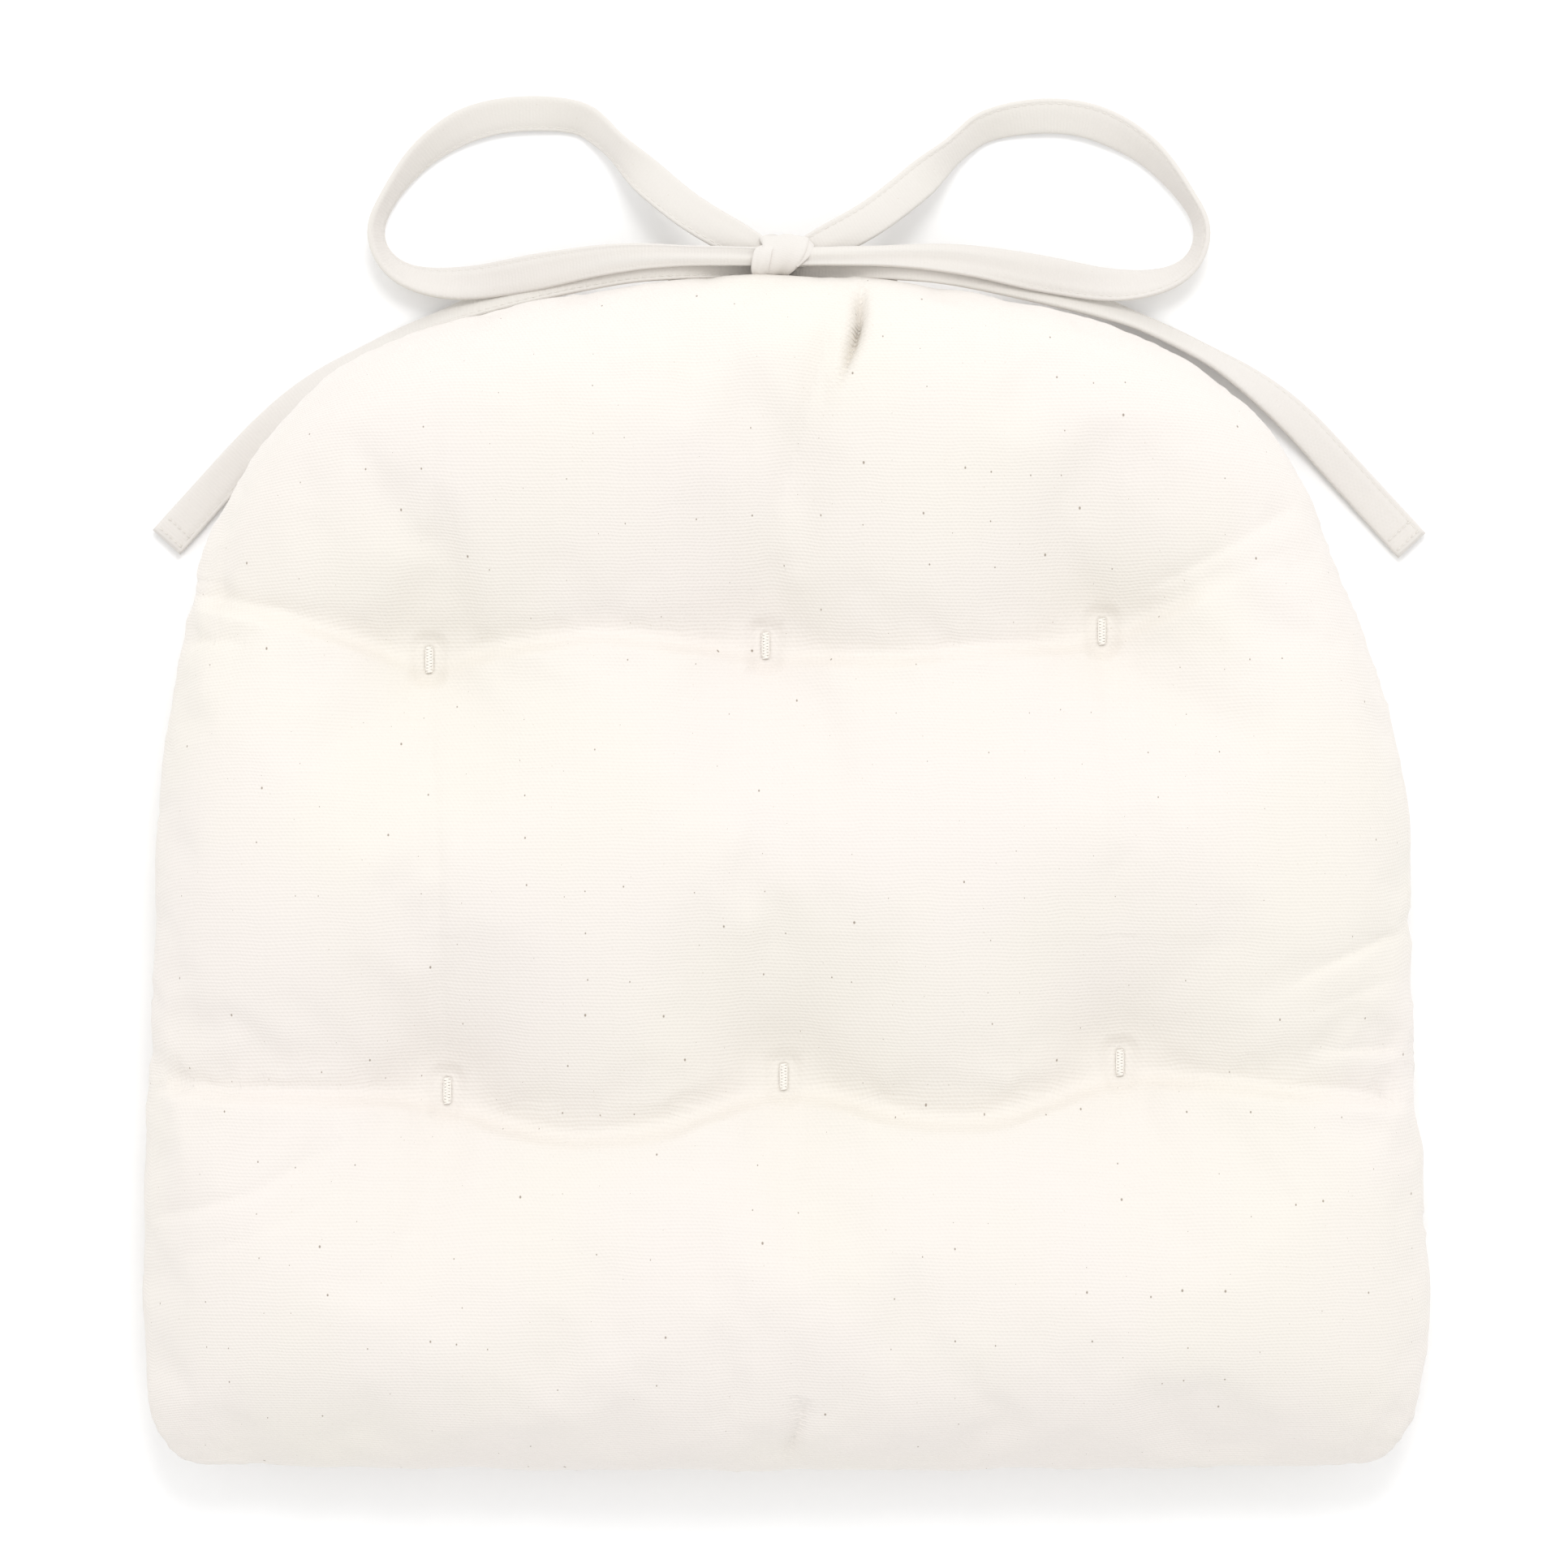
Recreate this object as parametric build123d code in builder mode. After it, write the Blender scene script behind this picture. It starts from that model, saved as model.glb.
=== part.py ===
"""Chair seat pad: a knife-edge cushion with a half-round back, tufted by bar tacks
and held to the chair by two cloth ties that are knotted in a bow behind it.

The cover is two shaped panels of cotton duck, seamed all round with the seam
allowance turned inside. It holds a foam core between two layers of batting. Six
bar tacks go right through and pull the two faces together. Each tie is sewn into
the back edge, runs to the knot, makes one loop and ends in one tail.

Frame: +Z up, the sitter faces -Y, the origin is at the middle of the pad on the
face that it rests on. Millimetres and degrees.
"""

import os
from math import cos, radians, sin, tan

from build123d import *

# Pad
PAD_WIDTH = 394.0  # across the front, at the widest
PAD_DEPTH = 365.0  # front edge to back edge on the centre line
PAD_HEIGHT = 62.0  # resting face to crown
SEAM_HEIGHT = 25.0  # knife-edge seam, and the middle of every tack
SIDE_LEAN = 2.0  # how far each straight side leans in towards the back
SIDE_RADIUS = 290.0  # upper side
SIDE_TURN = 20.5  # angle that the upper side turns through
SHOULDER_RADIUS = 104.0
SHOULDER_TURN = 52.5
FRONT_BOW = 2.0  # how far the front edge bows out
CORNER_RADIUS = 18.0
CORNER_GROWTH = 0.35  # corner radius gained for each millimetre further in
TOP_ROLL = 70.0  # how far in from the seam the top face is still rounding over
BOTTOM_ROLL = 35.0
ROLL_STEPS = 6

# Cloth, fill and seam
CLOTH = 0.8
BATTING = 12.0
CLEARANCE = 0.2  # between a layer of fill and what it lies against
SEAM_ALLOWANCE = 10.0
SEAM_INSET = 1.6  # stitch line, in from the edge
CLOSING_INSET = 3.4  # stitch line that closes the filling opening
CLOSING_LENGTH = 240.0  # opening that the filling goes in by
THREAD = 0.8

# Bar tacks
TACK_PITCH_X = 103.0
TACK_PITCH_Y = 132.0
TACK_CENTRE = (-2.5, 4.5)
TACK_SKEW = 2.4  # the marking of the grid is turned by this much
TACK_LENGTH = 8.0
TACK_WIDTH = 2.2
TACK_RISE = 0.8  # how far a bar stands above the cloth
TACK_STEM_LENGTH = 6.6
TACK_STEM_WIDTH = 1.2
TACK_GRIP = 9.0  # cover, outside to outside, at a tack
STEM_CLEARANCE = 0.1
TUFT_FLOOR = 6.0  # flat bottom of a tuft, radius
TUFT_TOP_LIP = 42.0  # radius at which a tuft meets the top face
TUFT_BOTTOM_LIP = 30.0
CORE_GRIP = 3.0  # foam core left between the faces at a tack
CORE_TUFT_FLOOR = 10.0
TUFT_OVERSHOOT = 1.0  # the funnel's curve would level out this far past the face

# Ties
TIE_WIDTH = 11.5
TIE_THICKNESS = 2.0
ANCHOR_SPREAD = 60.0  # between the two places where the ties enter the seam
ANCHOR_DEPTH = 9.0  # how far a tie reaches in past the edge
ANCHOR_CLEARANCE = 0.1
KNOT_WIDTH = 18.6
KNOT_DEPTH = 13.0
KNOT_HEIGHT = 14.0
KNOT_ROUND = 3.5
KNOT_GAP = 0.8  # between the knot and the pad's back edge
KNOT_MIDDLE = 26.5
HEM_LENGTH = 7.0  # stitched hem at the end of each tail
HEM_STITCH = 0.5

HALF_WIDTH = PAD_WIDTH / 2
HALF_DEPTH = PAD_DEPTH / 2
KNOT_Y = HALF_DEPTH + KNOT_GAP + KNOT_DEPTH / 2
KNOT_SIDE = KNOT_WIDTH / 2

# Routes of the free stretches, outwards from the knot. They are drawn for the left
# tie; the right tie has its own, because the two halves of a bow never match.
LEFT_LOOP = [
    (-4, 190, 28.2),
    (-24, 199, 29.6),
    (-41, 214, 14),
    (-54, 228, 3.5),
    (-71, 237, 1.5),
    (-92, 235.5, 1.5),
    (-110, 225.5, 1.5),
    (-121, 212, 1.5),
    (-127, 198, 1.5),
    (-119.5, 184, 2),
    (-101, 181.5, 4.8),
    (-76, 184.5, 11),
    (-50, 187.5, 22.5),
    (-25, 189.3, 31.2),
    (-4, 189.5, 31.6),
]
LEFT_TAIL = [
    (-4, 189.3, 22),
    (-26, 188, 20),
    (-50, 183, 9),
    (-76, 179.5, 2),
    (-99, 174, 1.5),
    (-119, 166.5, 1.5),
    (-138, 156, 1.5),
    (-155, 142.5, 1.5),
    (-170, 126.5, 1.5),
    (-191, 103, 1.5),
]
RIGHT_LOOP = [
    (4, 190, 28.2),
    (22, 197.5, 29.4),
    (39, 211, 15),
    (52, 223.5, 4),
    (68, 234.5, 1.5),
    (90, 236, 1.5),
    (110.5, 227, 1.5),
    (123, 213.5, 1.5),
    (131.5, 199, 1.5),
    (124.5, 184.5, 2),
    (105.5, 180.8, 4.8),
    (80, 183.5, 11),
    (53, 187, 22.5),
    (26, 189.3, 31.2),
    (4, 189.5, 31.6),
]
RIGHT_TAIL = [
    (4, 189.3, 22),
    (27, 188, 20),
    (52, 183, 9),
    (78, 179.5, 2),
    (101, 174.5, 1.5),
    (121, 166.5, 1.5),
    (140.5, 156, 1.5),
    (158, 142.5, 1.5),
    (173, 126, 1.5),
    (195, 102, 1.5),
]


def outline(inset):
    """Plan of the pad, drawn parallel to its edge and `inset` inside it."""
    lean = radians(SIDE_LEAN)
    corner_radius = CORNER_RADIUS + CORNER_GROWTH * inset
    half_width = HALF_WIDTH - inset + corner_radius * (tan(lean) + 1 / cos(lean) - 1)
    half_depth = HALF_DEPTH - inset
    side = SIDE_RADIUS - inset
    shoulder = SHOULDER_RADIUS - inset
    side_start = 90 - SIDE_LEAN
    shoulder_start = side_start - SIDE_TURN
    back_turn = shoulder_start - SHOULDER_TURN
    h_side, h_shoulder, h_back = (
        radians(a) for a in (side_start, shoulder_start, back_turn)
    )
    # The back arc's radius and the straight side's length close the outline.
    across = (
        half_width
        - shoulder * (sin(h_shoulder) - sin(h_back))
        - side * (sin(h_side) - sin(h_shoulder))
    )
    along = (
        2 * half_depth
        - FRONT_BOW
        - shoulder * (cos(h_back) - cos(h_shoulder))
        - side * (cos(h_shoulder) - cos(h_side))
    )
    share = sin(h_back) * sin(h_side) - cos(h_side) * (1 - cos(h_back))
    back = (across * sin(h_side) - along * cos(h_side)) / share
    straight = (along * sin(h_back) - across * (1 - cos(h_back))) / share
    with BuildSketch() as plan:
        with BuildLine():
            back_arc = JernArc((0, half_depth), (1, 0), back, -back_turn)
            shoulder_arc = JernArc(back_arc @ 1, back_arc % 1, shoulder, -SHOULDER_TURN)
            side_arc = JernArc(shoulder_arc @ 1, shoulder_arc % 1, side, -SIDE_TURN)
            side_line = PolarLine(side_arc @ 1, straight, direction=side_arc % 1)
            mirror(about=Plane.YZ)
            corner = side_line @ 1
            ThreePointArc(corner, (0, -half_depth), (-corner.X, corner.Y))
        make_face()
        corners = vertices().sort_by(Axis.Y)[:2]
        fillet(corners, corner_radius)
    return plan.sketch


def tack_spots():
    """Name and plan position of each bar tack."""
    turn = radians(TACK_SKEW)
    spots = {}
    for row, up in (("back", 0.5), ("front", -0.5)):
        for column, over in (("left", -1), ("centre", 0), ("right", 1)):
            x, y = over * TACK_PITCH_X, up * TACK_PITCH_Y
            spots[f"{row}_{column}"] = (
                TACK_CENTRE[0] + x * cos(turn) - y * sin(turn),
                TACK_CENTRE[1] + x * sin(turn) + y * cos(turn),
            )
    return spots


TACKS = tack_spots()


def tuft(floor, face, floor_radius, lip_radius):
    """Hollow that a tack draws into a face: a rounded funnel from `face` to `floor`."""
    outward = 1 if face > floor else -1
    rim, above = face + outward * TUFT_OVERSHOOT, face + outward * 5
    with BuildPart() as hollow:
        with BuildSketch(Plane.XZ):
            with BuildLine():
                EllipticalCenterArc(
                    (lip_radius, floor),
                    lip_radius - floor_radius,
                    abs(rim - floor),
                    start_angle=90 if outward > 0 else 180,
                    arc_size=90,
                )
                Polyline(
                    (floor_radius, floor),
                    (0, floor),
                    (0, above),
                    (lip_radius, above),
                    (lip_radius, rim),
                )
            make_face()
        revolve(axis=Axis.Z)
    return hollow.part


def pillow(inset, grip, floor_radius):
    """The cushion's form, `inset` inside the cover's outer face. `grip` is what is
    left between its two faces at a tack."""
    top, bottom = PAD_HEIGHT - inset, inset
    with BuildPart() as form:
        for step in range(-ROLL_STEPS, ROLL_STEPS + 1):
            angle = radians(90 * step / ROLL_STEPS)
            upper = step > 0
            reach = top - SEAM_HEIGHT if upper else SEAM_HEIGHT - bottom
            roll = TOP_ROLL if upper else BOTTOM_ROLL
            with BuildSketch(Plane.XY.offset(SEAM_HEIGHT + reach * sin(angle))):
                add(outline(inset + roll * (1 - cos(angle))))
        loft(ruled=True)
        high, low = SEAM_HEIGHT + grip / 2, SEAM_HEIGHT - grip / 2
        above = tuft(high, top, floor_radius, TUFT_TOP_LIP)
        below = tuft(low, bottom, floor_radius, TUFT_BOTTOM_LIP)
        with Locations(*TACKS.values()):
            add(above, mode=Mode.SUBTRACT)
            add(below, mode=Mode.SUBTRACT)
    return form.part


def ring(outer_inset, inner_inset, low, high):
    """Flat band that follows the pad's edge between two insets."""
    with BuildPart() as band:
        with BuildSketch(Plane.XY.offset(low)):
            add(outline(outer_inset))
        extrude(amount=high - low)
        with BuildSketch(Plane.XY.offset(low)):
            add(outline(inner_inset))
        extrude(amount=high - low, mode=Mode.SUBTRACT)
    return band.part


def slab(low, high):
    """Everything between two heights."""
    with BuildPart() as room:
        with Locations((0, 0, (low + high) / 2)):
            Box(2 * PAD_WIDTH, 2 * PAD_DEPTH, high - low)
    return room.part


def stem_holes():
    """The slots that the bar tacks' threads pass through."""
    with BuildPart() as holes:
        with Locations(*TACKS.values()):
            Box(
                TACK_STEM_WIDTH + 2 * STEM_CLEARANCE,
                TACK_STEM_LENGTH + 2 * STEM_CLEARANCE,
                4 * PAD_HEIGHT,
            )
    return holes.part


def tie_slots():
    """The two places where the ties pass between the panels at the back edge."""
    reach = ANCHOR_DEPTH + ANCHOR_CLEARANCE
    spread, middle = ANCHOR_SPREAD / 2, HALF_DEPTH
    with BuildPart() as slots:
        with Locations((-spread, middle, SEAM_HEIGHT), (spread, middle, SEAM_HEIGHT)):
            Box(
                TIE_WIDTH + 2 * ANCHOR_CLEARANCE,
                2 * reach,
                TIE_THICKNESS + 2 * ANCHOR_CLEARANCE,
            )
    return slots.part


def write(part, name):
    """Labels a finished piece and writes it to its own file."""
    part.label = name
    export_step(part, f"parts/{name}.step")


os.makedirs("parts", exist_ok=True)

# Surfaces, from the outside in, as (inset, grip at a tack, tuft floor radius)
batting_inset = CLOTH + CLEARANCE
core_inset = batting_inset + BATTING + CLEARANCE
cover_face = pillow(0, TACK_GRIP, TUFT_FLOOR)
cover_lining = pillow(CLOTH, TACK_GRIP - 2 * CLOTH, TUFT_FLOOR + CLOTH)
batting_face = pillow(
    batting_inset, TACK_GRIP - 2 * batting_inset, TUFT_FLOOR + batting_inset
)
batting_lining = pillow(
    core_inset - CLEARANCE, CORE_GRIP + 2 * CLEARANCE, CORE_TUFT_FLOOR - CLEARANCE
)
core_face = pillow(core_inset, CORE_GRIP, CORE_TUFT_FLOOR)

# Threads that run along the edge, in a groove pressed into the two seam allowances
thread_low, thread_high = SEAM_HEIGHT - THREAD / 2, SEAM_HEIGHT + THREAD / 2
seam_line = ring(SEAM_INSET, SEAM_INSET + THREAD, thread_low, thread_high)
closing_line = ring(CLOSING_INSET, CLOSING_INSET + THREAD, thread_low, thread_high)

with BuildPart() as closing_stitch:
    add(closing_line)
    with Locations((0, HALF_DEPTH, SEAM_HEIGHT)):
        Box(CLOSING_LENGTH, PAD_DEPTH / 2, PAD_HEIGHT, mode=Mode.INTERSECT)
write(closing_stitch.part, "closing_stitch")
write(seam_line, "seam_thread")


def panel(name, low, high, lip_low, lip_high):
    """One cover panel: a cloth shell with its seam allowance turned inside."""
    with BuildPart() as shell:
        add(cover_face)
        add(cover_lining, mode=Mode.SUBTRACT)
        add(slab(low, high), mode=Mode.INTERSECT)
        add(ring(CLOTH / 2, SEAM_ALLOWANCE, lip_low, lip_high))
        add(seam_line, mode=Mode.SUBTRACT)
        add(closing_stitch.part, mode=Mode.SUBTRACT)
        add(stem_holes(), mode=Mode.SUBTRACT)
        add(tie_slots(), mode=Mode.SUBTRACT)
    write(shell.part, name)


panel("top_panel", SEAM_HEIGHT, PAD_HEIGHT, SEAM_HEIGHT, SEAM_HEIGHT + CLOTH)
panel("bottom_panel", 0, SEAM_HEIGHT, SEAM_HEIGHT - CLOTH, SEAM_HEIGHT)


def batting(name, low, high):
    """One layer of batting, notched round the edge for the seam allowance."""
    notch = CLOTH + CLEARANCE
    with BuildPart() as layer:
        add(batting_face)
        add(batting_lining, mode=Mode.SUBTRACT)
        add(slab(low, high), mode=Mode.INTERSECT)
        allowance = ring(
            0, SEAM_ALLOWANCE + CLEARANCE, SEAM_HEIGHT - notch, SEAM_HEIGHT + notch
        )
        add(allowance, mode=Mode.SUBTRACT)
        add(stem_holes(), mode=Mode.SUBTRACT)
        add(tie_slots(), mode=Mode.SUBTRACT)
    write(layer.part, name)


batting("batting_top", SEAM_HEIGHT + CLEARANCE / 2, PAD_HEIGHT)
batting("batting_bottom", 0, SEAM_HEIGHT - CLEARANCE / 2)

with BuildPart() as foam_core:
    add(core_face)
    add(stem_holes(), mode=Mode.SUBTRACT)
write(foam_core.part, "foam_core")

for spot, (x, y) in TACKS.items():
    top_bar = SEAM_HEIGHT + TACK_GRIP / 2
    bottom_bar = SEAM_HEIGHT - TACK_GRIP / 2
    with BuildPart() as tack:
        with Locations((x, y, SEAM_HEIGHT)):
            Box(TACK_STEM_WIDTH, TACK_STEM_LENGTH, TACK_GRIP)
        for height in (top_bar + TACK_RISE / 2, bottom_bar - TACK_RISE / 2):
            with Locations((x, y, height)):
                Box(TACK_WIDTH, TACK_LENGTH, TACK_RISE)
        outer = tack.edges().filter_by(Axis.Y).group_by(Axis.Z)
        fillet(outer[0] + outer[-1], TACK_RISE / 2.5)
    write(tack.part, f"bar_tack_{spot}")

with BuildPart() as bow_knot:
    with Locations((0, KNOT_Y, KNOT_MIDDLE)):
        Box(KNOT_WIDTH, KNOT_DEPTH, KNOT_HEIGHT)
    fillet(bow_knot.edges().filter_by(Axis.X), KNOT_ROUND)
write(bow_knot.part, "bow_knot")


def tie_root(name, side):
    """The stretch of a tie from inside the seam to the knot, turned flat behind the
    edge."""
    middle = side * ANCHOR_SPREAD / 2
    far = middle + side * TIE_WIDTH / 2
    back = HALF_DEPTH + KNOT_GAP + TIE_WIDTH
    with BuildPart() as root:
        with BuildSketch(Plane.XY.offset(SEAM_HEIGHT - TIE_THICKNESS / 2)):
            with Locations((middle, (HALF_DEPTH - ANCHOR_DEPTH + back) / 2)):
                Rectangle(TIE_WIDTH, back - HALF_DEPTH + ANCHOR_DEPTH)
            with Locations(((far + side * KNOT_SIDE) / 2, back - TIE_WIDTH / 2)):
                Rectangle(abs(far) - KNOT_SIDE, TIE_WIDTH)
            outer = vertices().sort_by(Axis.Y)[-2:].sort_by(Axis.X)
            chamfer(outer[0 if side < 0 else -1], TIE_WIDTH / 2)
        extrude(amount=TIE_THICKNESS)
        add(seam_line, mode=Mode.SUBTRACT)
        add(closing_stitch.part, mode=Mode.SUBTRACT)
    write(root.part, name)


def bend_radii(route):
    """Largest tangent arc at each corner of a route that its two runs allow."""
    radii = []
    for before, point, after in zip(route, route[1:], route[2:]):
        run_in, run_out = Vector(*point) - before, Vector(*after) - point
        half_turn = radians(run_in.get_angle(run_out) / 2)
        radii.append(0.45 * min(run_in.length, run_out.length) / tan(half_turn))
    return radii


def strip(name, route):
    """A free stretch of tie: a flat strip along straight runs joined by arcs."""
    radii = bend_radii(route)
    with BuildPart() as tie:
        with BuildLine() as path:
            FilletPolyline(*route, radius=radii)
        middle = path.wires()[0]
        start = Plane(route[0], z_dir=middle % 0, x_dir=flat(middle % 0))
        with BuildSketch(start):
            Rectangle(TIE_WIDTH, TIE_THICKNESS)
        sweep(path=middle, binormal=middle.moved(Location((0, 0, PAD_HEIGHT))))
        with Locations((0, KNOT_Y, KNOT_MIDDLE)):
            Box(KNOT_WIDTH, PAD_DEPTH, 2 * PAD_HEIGHT, mode=Mode.SUBTRACT)
    length = middle.length
    print(
        f"{name}: {length:.0f} mm, radii {[round(r) for r in radii]}, volume / (section"
        f" x length) {tie.part.volume / (TIE_WIDTH * TIE_THICKNESS * length):.3f}"
    )
    write(tie.part, name)


def flat(direction):
    """Level direction square to a tie's own direction."""
    return direction.cross(Vector(0, 0, 1)).normalized()


def hem_stitches(name, route):
    """Two rows of thread across the turned end of a tail."""
    end, before = Vector(*route[-1]), Vector(*route[-2])
    along = (before - end).normalized()
    across = Plane(end, x_dir=along, z_dir=(0, 0, 1))
    with BuildPart() as rows:
        for place in (HEM_LENGTH, HEM_LENGTH / 3):
            row = across.offset(TIE_THICKNESS / 2)
            with BuildSketch(row):
                with Locations((place, 0)):
                    Rectangle(HEM_STITCH, TIE_WIDTH - 2 * HEM_STITCH)
            extrude(amount=HEM_STITCH / 2)
    write(rows.part, name)


for name, side, loop, tail in (
    ("left_tie", -1, LEFT_LOOP, LEFT_TAIL),
    ("right_tie", 1, RIGHT_LOOP, RIGHT_TAIL),
):
    tie_root(f"{name}_root", side)
    strip(f"{name}_loop", loop)
    strip(f"{name}_tail", tail)
    hem_stitches(f"{name}_hem_stitches", tail)
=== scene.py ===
"""Chair seat pad in undyed cotton duck: tufted cover, bar tacks and two ties in a bow."""

import math

import bmesh
import bpy
import numpy as np
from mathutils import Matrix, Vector
from mathutils.geometry import delaunay_2d_cdt


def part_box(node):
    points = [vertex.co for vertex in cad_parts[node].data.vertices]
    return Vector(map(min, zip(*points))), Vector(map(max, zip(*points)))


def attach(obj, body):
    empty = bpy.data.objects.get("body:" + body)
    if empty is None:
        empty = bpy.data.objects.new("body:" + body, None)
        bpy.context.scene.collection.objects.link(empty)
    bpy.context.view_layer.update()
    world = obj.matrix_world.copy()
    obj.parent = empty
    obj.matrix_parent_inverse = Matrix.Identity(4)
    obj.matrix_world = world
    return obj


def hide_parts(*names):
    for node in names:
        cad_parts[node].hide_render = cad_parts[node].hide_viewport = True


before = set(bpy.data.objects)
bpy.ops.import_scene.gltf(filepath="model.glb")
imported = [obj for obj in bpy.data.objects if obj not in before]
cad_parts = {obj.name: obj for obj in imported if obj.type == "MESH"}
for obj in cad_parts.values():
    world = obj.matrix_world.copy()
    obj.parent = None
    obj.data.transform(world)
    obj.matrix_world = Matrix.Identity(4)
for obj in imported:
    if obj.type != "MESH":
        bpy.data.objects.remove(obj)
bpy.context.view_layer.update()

MM = 0.001

# ---- sizes, millimetres
FRONT_BOW = 2.0
SIDE_LEAN = 2.0
SIDE_RADIUS = 290.0
SIDE_TURN = 20.5
SHOULDER_RADIUS = {"left": 92.0, "right": 112.0}
SHOULDER_TURN = 52.5
CORNER_RADIUS = 18.0
TOP_ROLL = {"back": 27.0, "side": 56.0, "front": 66.0}
BOTTOM_ROLL = {"back": 35.0, "side": 35.0, "front": 35.0}
EASE = 16.0  # the flat pattern is this much bigger all round than the made-up pad
LATTICE = 4.0  # grid of the flat pattern
SEAM_STEP = 3.7  # spacing of its points on the seam line
TIE_WIDTH = 11.5

pad_low, pad_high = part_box("bottom_panel")[0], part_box("top_panel")[1]
HALF_WIDTH = (pad_high[0] - pad_low[0]) / 2 / MM
HALF_DEPTH = (pad_high[1] - pad_low[1]) / 2 / MM
CROWN = pad_high[2] / MM
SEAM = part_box("bottom_panel")[1][2] / MM

TACK_NAMES = [f"{r}_{c}" for r in ("back", "front") for c in ("left", "centre", "right")]
TACKS = {}
for tack_name in TACK_NAMES:
    low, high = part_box(f"bar_tack_{tack_name}")
    TACKS[tack_name] = (
        (low[0] + high[0]) / 2 / MM,
        (low[1] + high[1]) / 2 / MM,
        low[2] / MM,
        high[2] / MM,
    )


# ---- small helpers
def new_object(name, data):
    piece = bpy.data.objects.new(name, data)
    bpy.context.scene.collection.objects.link(piece)
    return piece


def mesh_piece(name, points, faces, scale=MM):
    mesh = bpy.data.meshes.new(name)
    mesh.from_pydata([tuple(scale * c for c in p) for p in points], [], faces)
    mesh.validate()
    mesh.shade_smooth()
    return new_object(name, mesh)


def finish_piece(piece, material, slot, *nodes):
    """Gives a piece its material and its body, and hides the nodes it stands for. Its slot is not used.
    """
    piece.data.materials.clear()
    piece.data.materials.append(material)
    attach(piece, "root")
    if nodes:
        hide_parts(*nodes)
    return piece


def ease(t):
    t = np.clip(t, 0.0, 1.0)
    return t * t * (3 - 2 * t)


def table(x, pairs):
    """Value at x of a line through given (place, value) pairs."""
    return float(np.interp(x, [p[0] for p in pairs], [p[1] for p in pairs]))


def smoothed(values, reach):
    """Running average over so many values on either side."""
    kernel = np.hanning(2 * reach + 1)
    padded = np.pad(values, reach, mode="edge")
    return np.convolve(padded, kernel / kernel.sum(), mode="valid")


def run_along(points):
    """Distance of each point from the first, along the line through them."""
    return np.concatenate([[0], np.cumsum(np.linalg.norm(np.diff(points, axis=0), axis=1))])


def at_places(places, run, points):
    """Points of a line at the given distances along it."""
    return np.stack([np.interp(places, run, column) for column in points.T], axis=1)


def nearest_to(points, targets):
    """For each point, the gap to its nearest target, and which target that is."""
    best = np.full(len(points), 1e9)
    which = np.zeros(len(points), int)
    for i in range(0, len(targets), 64):
        gaps = np.linalg.norm(points[:, None, :] - targets[None, i : i + 64], axis=2)
        near = gaps.argmin(axis=1)
        value = gaps[np.arange(len(points)), near]
        closer = value < best
        best[closer] = value[closer]
        which[closer] = near[closer] + i
    return best, which


def tack_gaps(plan):
    """For each bar tack: every place's distance from it, and its low and high ends."""
    for x, y, low, high in TACKS.values():
        yield np.hypot(plan[:, 0] - x, plan[:, 1] - y), low, high


def set_attribute(piece, label, values):
    """Stores a number, or a place, for each of a piece's points."""
    values = np.array(values, float)
    kind, field = ("FLOAT_VECTOR", "vector") if values.ndim == 2 else ("FLOAT", "value")
    made = piece.data.attributes.new(label, kind, "POINT")
    made.data.foreach_set(field, values.ravel())


def tube_faces(rings, count, closed=False):
    """Faces of a tube of so many rings of points, joined round or with two flat ends."""
    faces = []
    for i in range(rings if closed else rings - 1):
        for j in range(count):
            k, n = (j + 1) % count, (i + 1) % rings
            faces.append((i * count + j, i * count + k, n * count + k, n * count + j))
    if not closed:
        faces.append(tuple(range(count))[::-1])
        faces.append(tuple((rings - 1) * count + j for j in range(count)))
    return faces


# ---- materials
SOCKETS = {type(None): "Vector", float: "Float", tuple: "Color"}


def group(name, inputs, outputs):
    """An empty shader node group. An input's kind is its value's; None is a place."""
    tree = bpy.data.node_groups.new(name, "ShaderNodeTree")
    for label, value in inputs.items():
        kind = "NodeSocket" + SOCKETS[type(value)]
        socket = tree.interface.new_socket(label, in_out="INPUT", socket_type=kind)
        if value is not None:
            socket.default_value = value
    for label, kind in outputs.items():
        tree.interface.new_socket(label, in_out="OUTPUT", socket_type="NodeSocket" + kind)
    return tree, tree.nodes.new("NodeGroupInput"), tree.nodes.new("NodeGroupOutput")


def node(tree, kind, links=(), **settings):
    """Adds a node. Settings are properties; links are (input, source or value)."""
    made = tree.nodes.new(kind)
    for key, value in settings.items():
        setattr(made, key, value)
    for key, source in links:
        if isinstance(source, bpy.types.NodeSocket):
            tree.links.new(source, made.inputs[key])
        else:
            made.inputs[key].default_value = source
    return made


def maths(tree, operation, *values, clamp=False):
    made = node(tree, "ShaderNodeMath", list(enumerate(values)), operation=operation)
    made.use_clamp = clamp
    return made.outputs[0]


def remap(tree, value, from_low, from_high):
    links = [("Value", value), ("From Min", from_low), ("From Max", from_high)]
    made = node(tree, "ShaderNodeMapRange", links, interpolation_type="SMOOTHSTEP")
    return made.outputs["Result"]


def mix_colours(tree, factor, a, b):
    made = node(tree, "ShaderNodeMix", [(0, factor), (6, a), (7, b)], data_type="RGBA")
    return made.outputs[2]


def noise(tree, place, scale, detail=2.0, distortion=0.0):
    links = [("Vector", place), ("Scale", scale), ("Detail", detail), ("Distortion", distortion)]
    return node(tree, "ShaderNodeTexNoise", links).outputs["Fac"]


def stretch(tree, place, factors):
    made = node(tree, "ShaderNodeVectorMath", [(0, place), (1, factors)], operation="MULTIPLY")
    return made.outputs[0]


def add_bump(tree, shader, height, strength, distance):
    links = [("Height", height), ("Strength", strength), ("Distance", distance)]
    tree.links.new(node(tree, "ShaderNodeBump", links).outputs[0], shader.inputs["Normal"])


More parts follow.
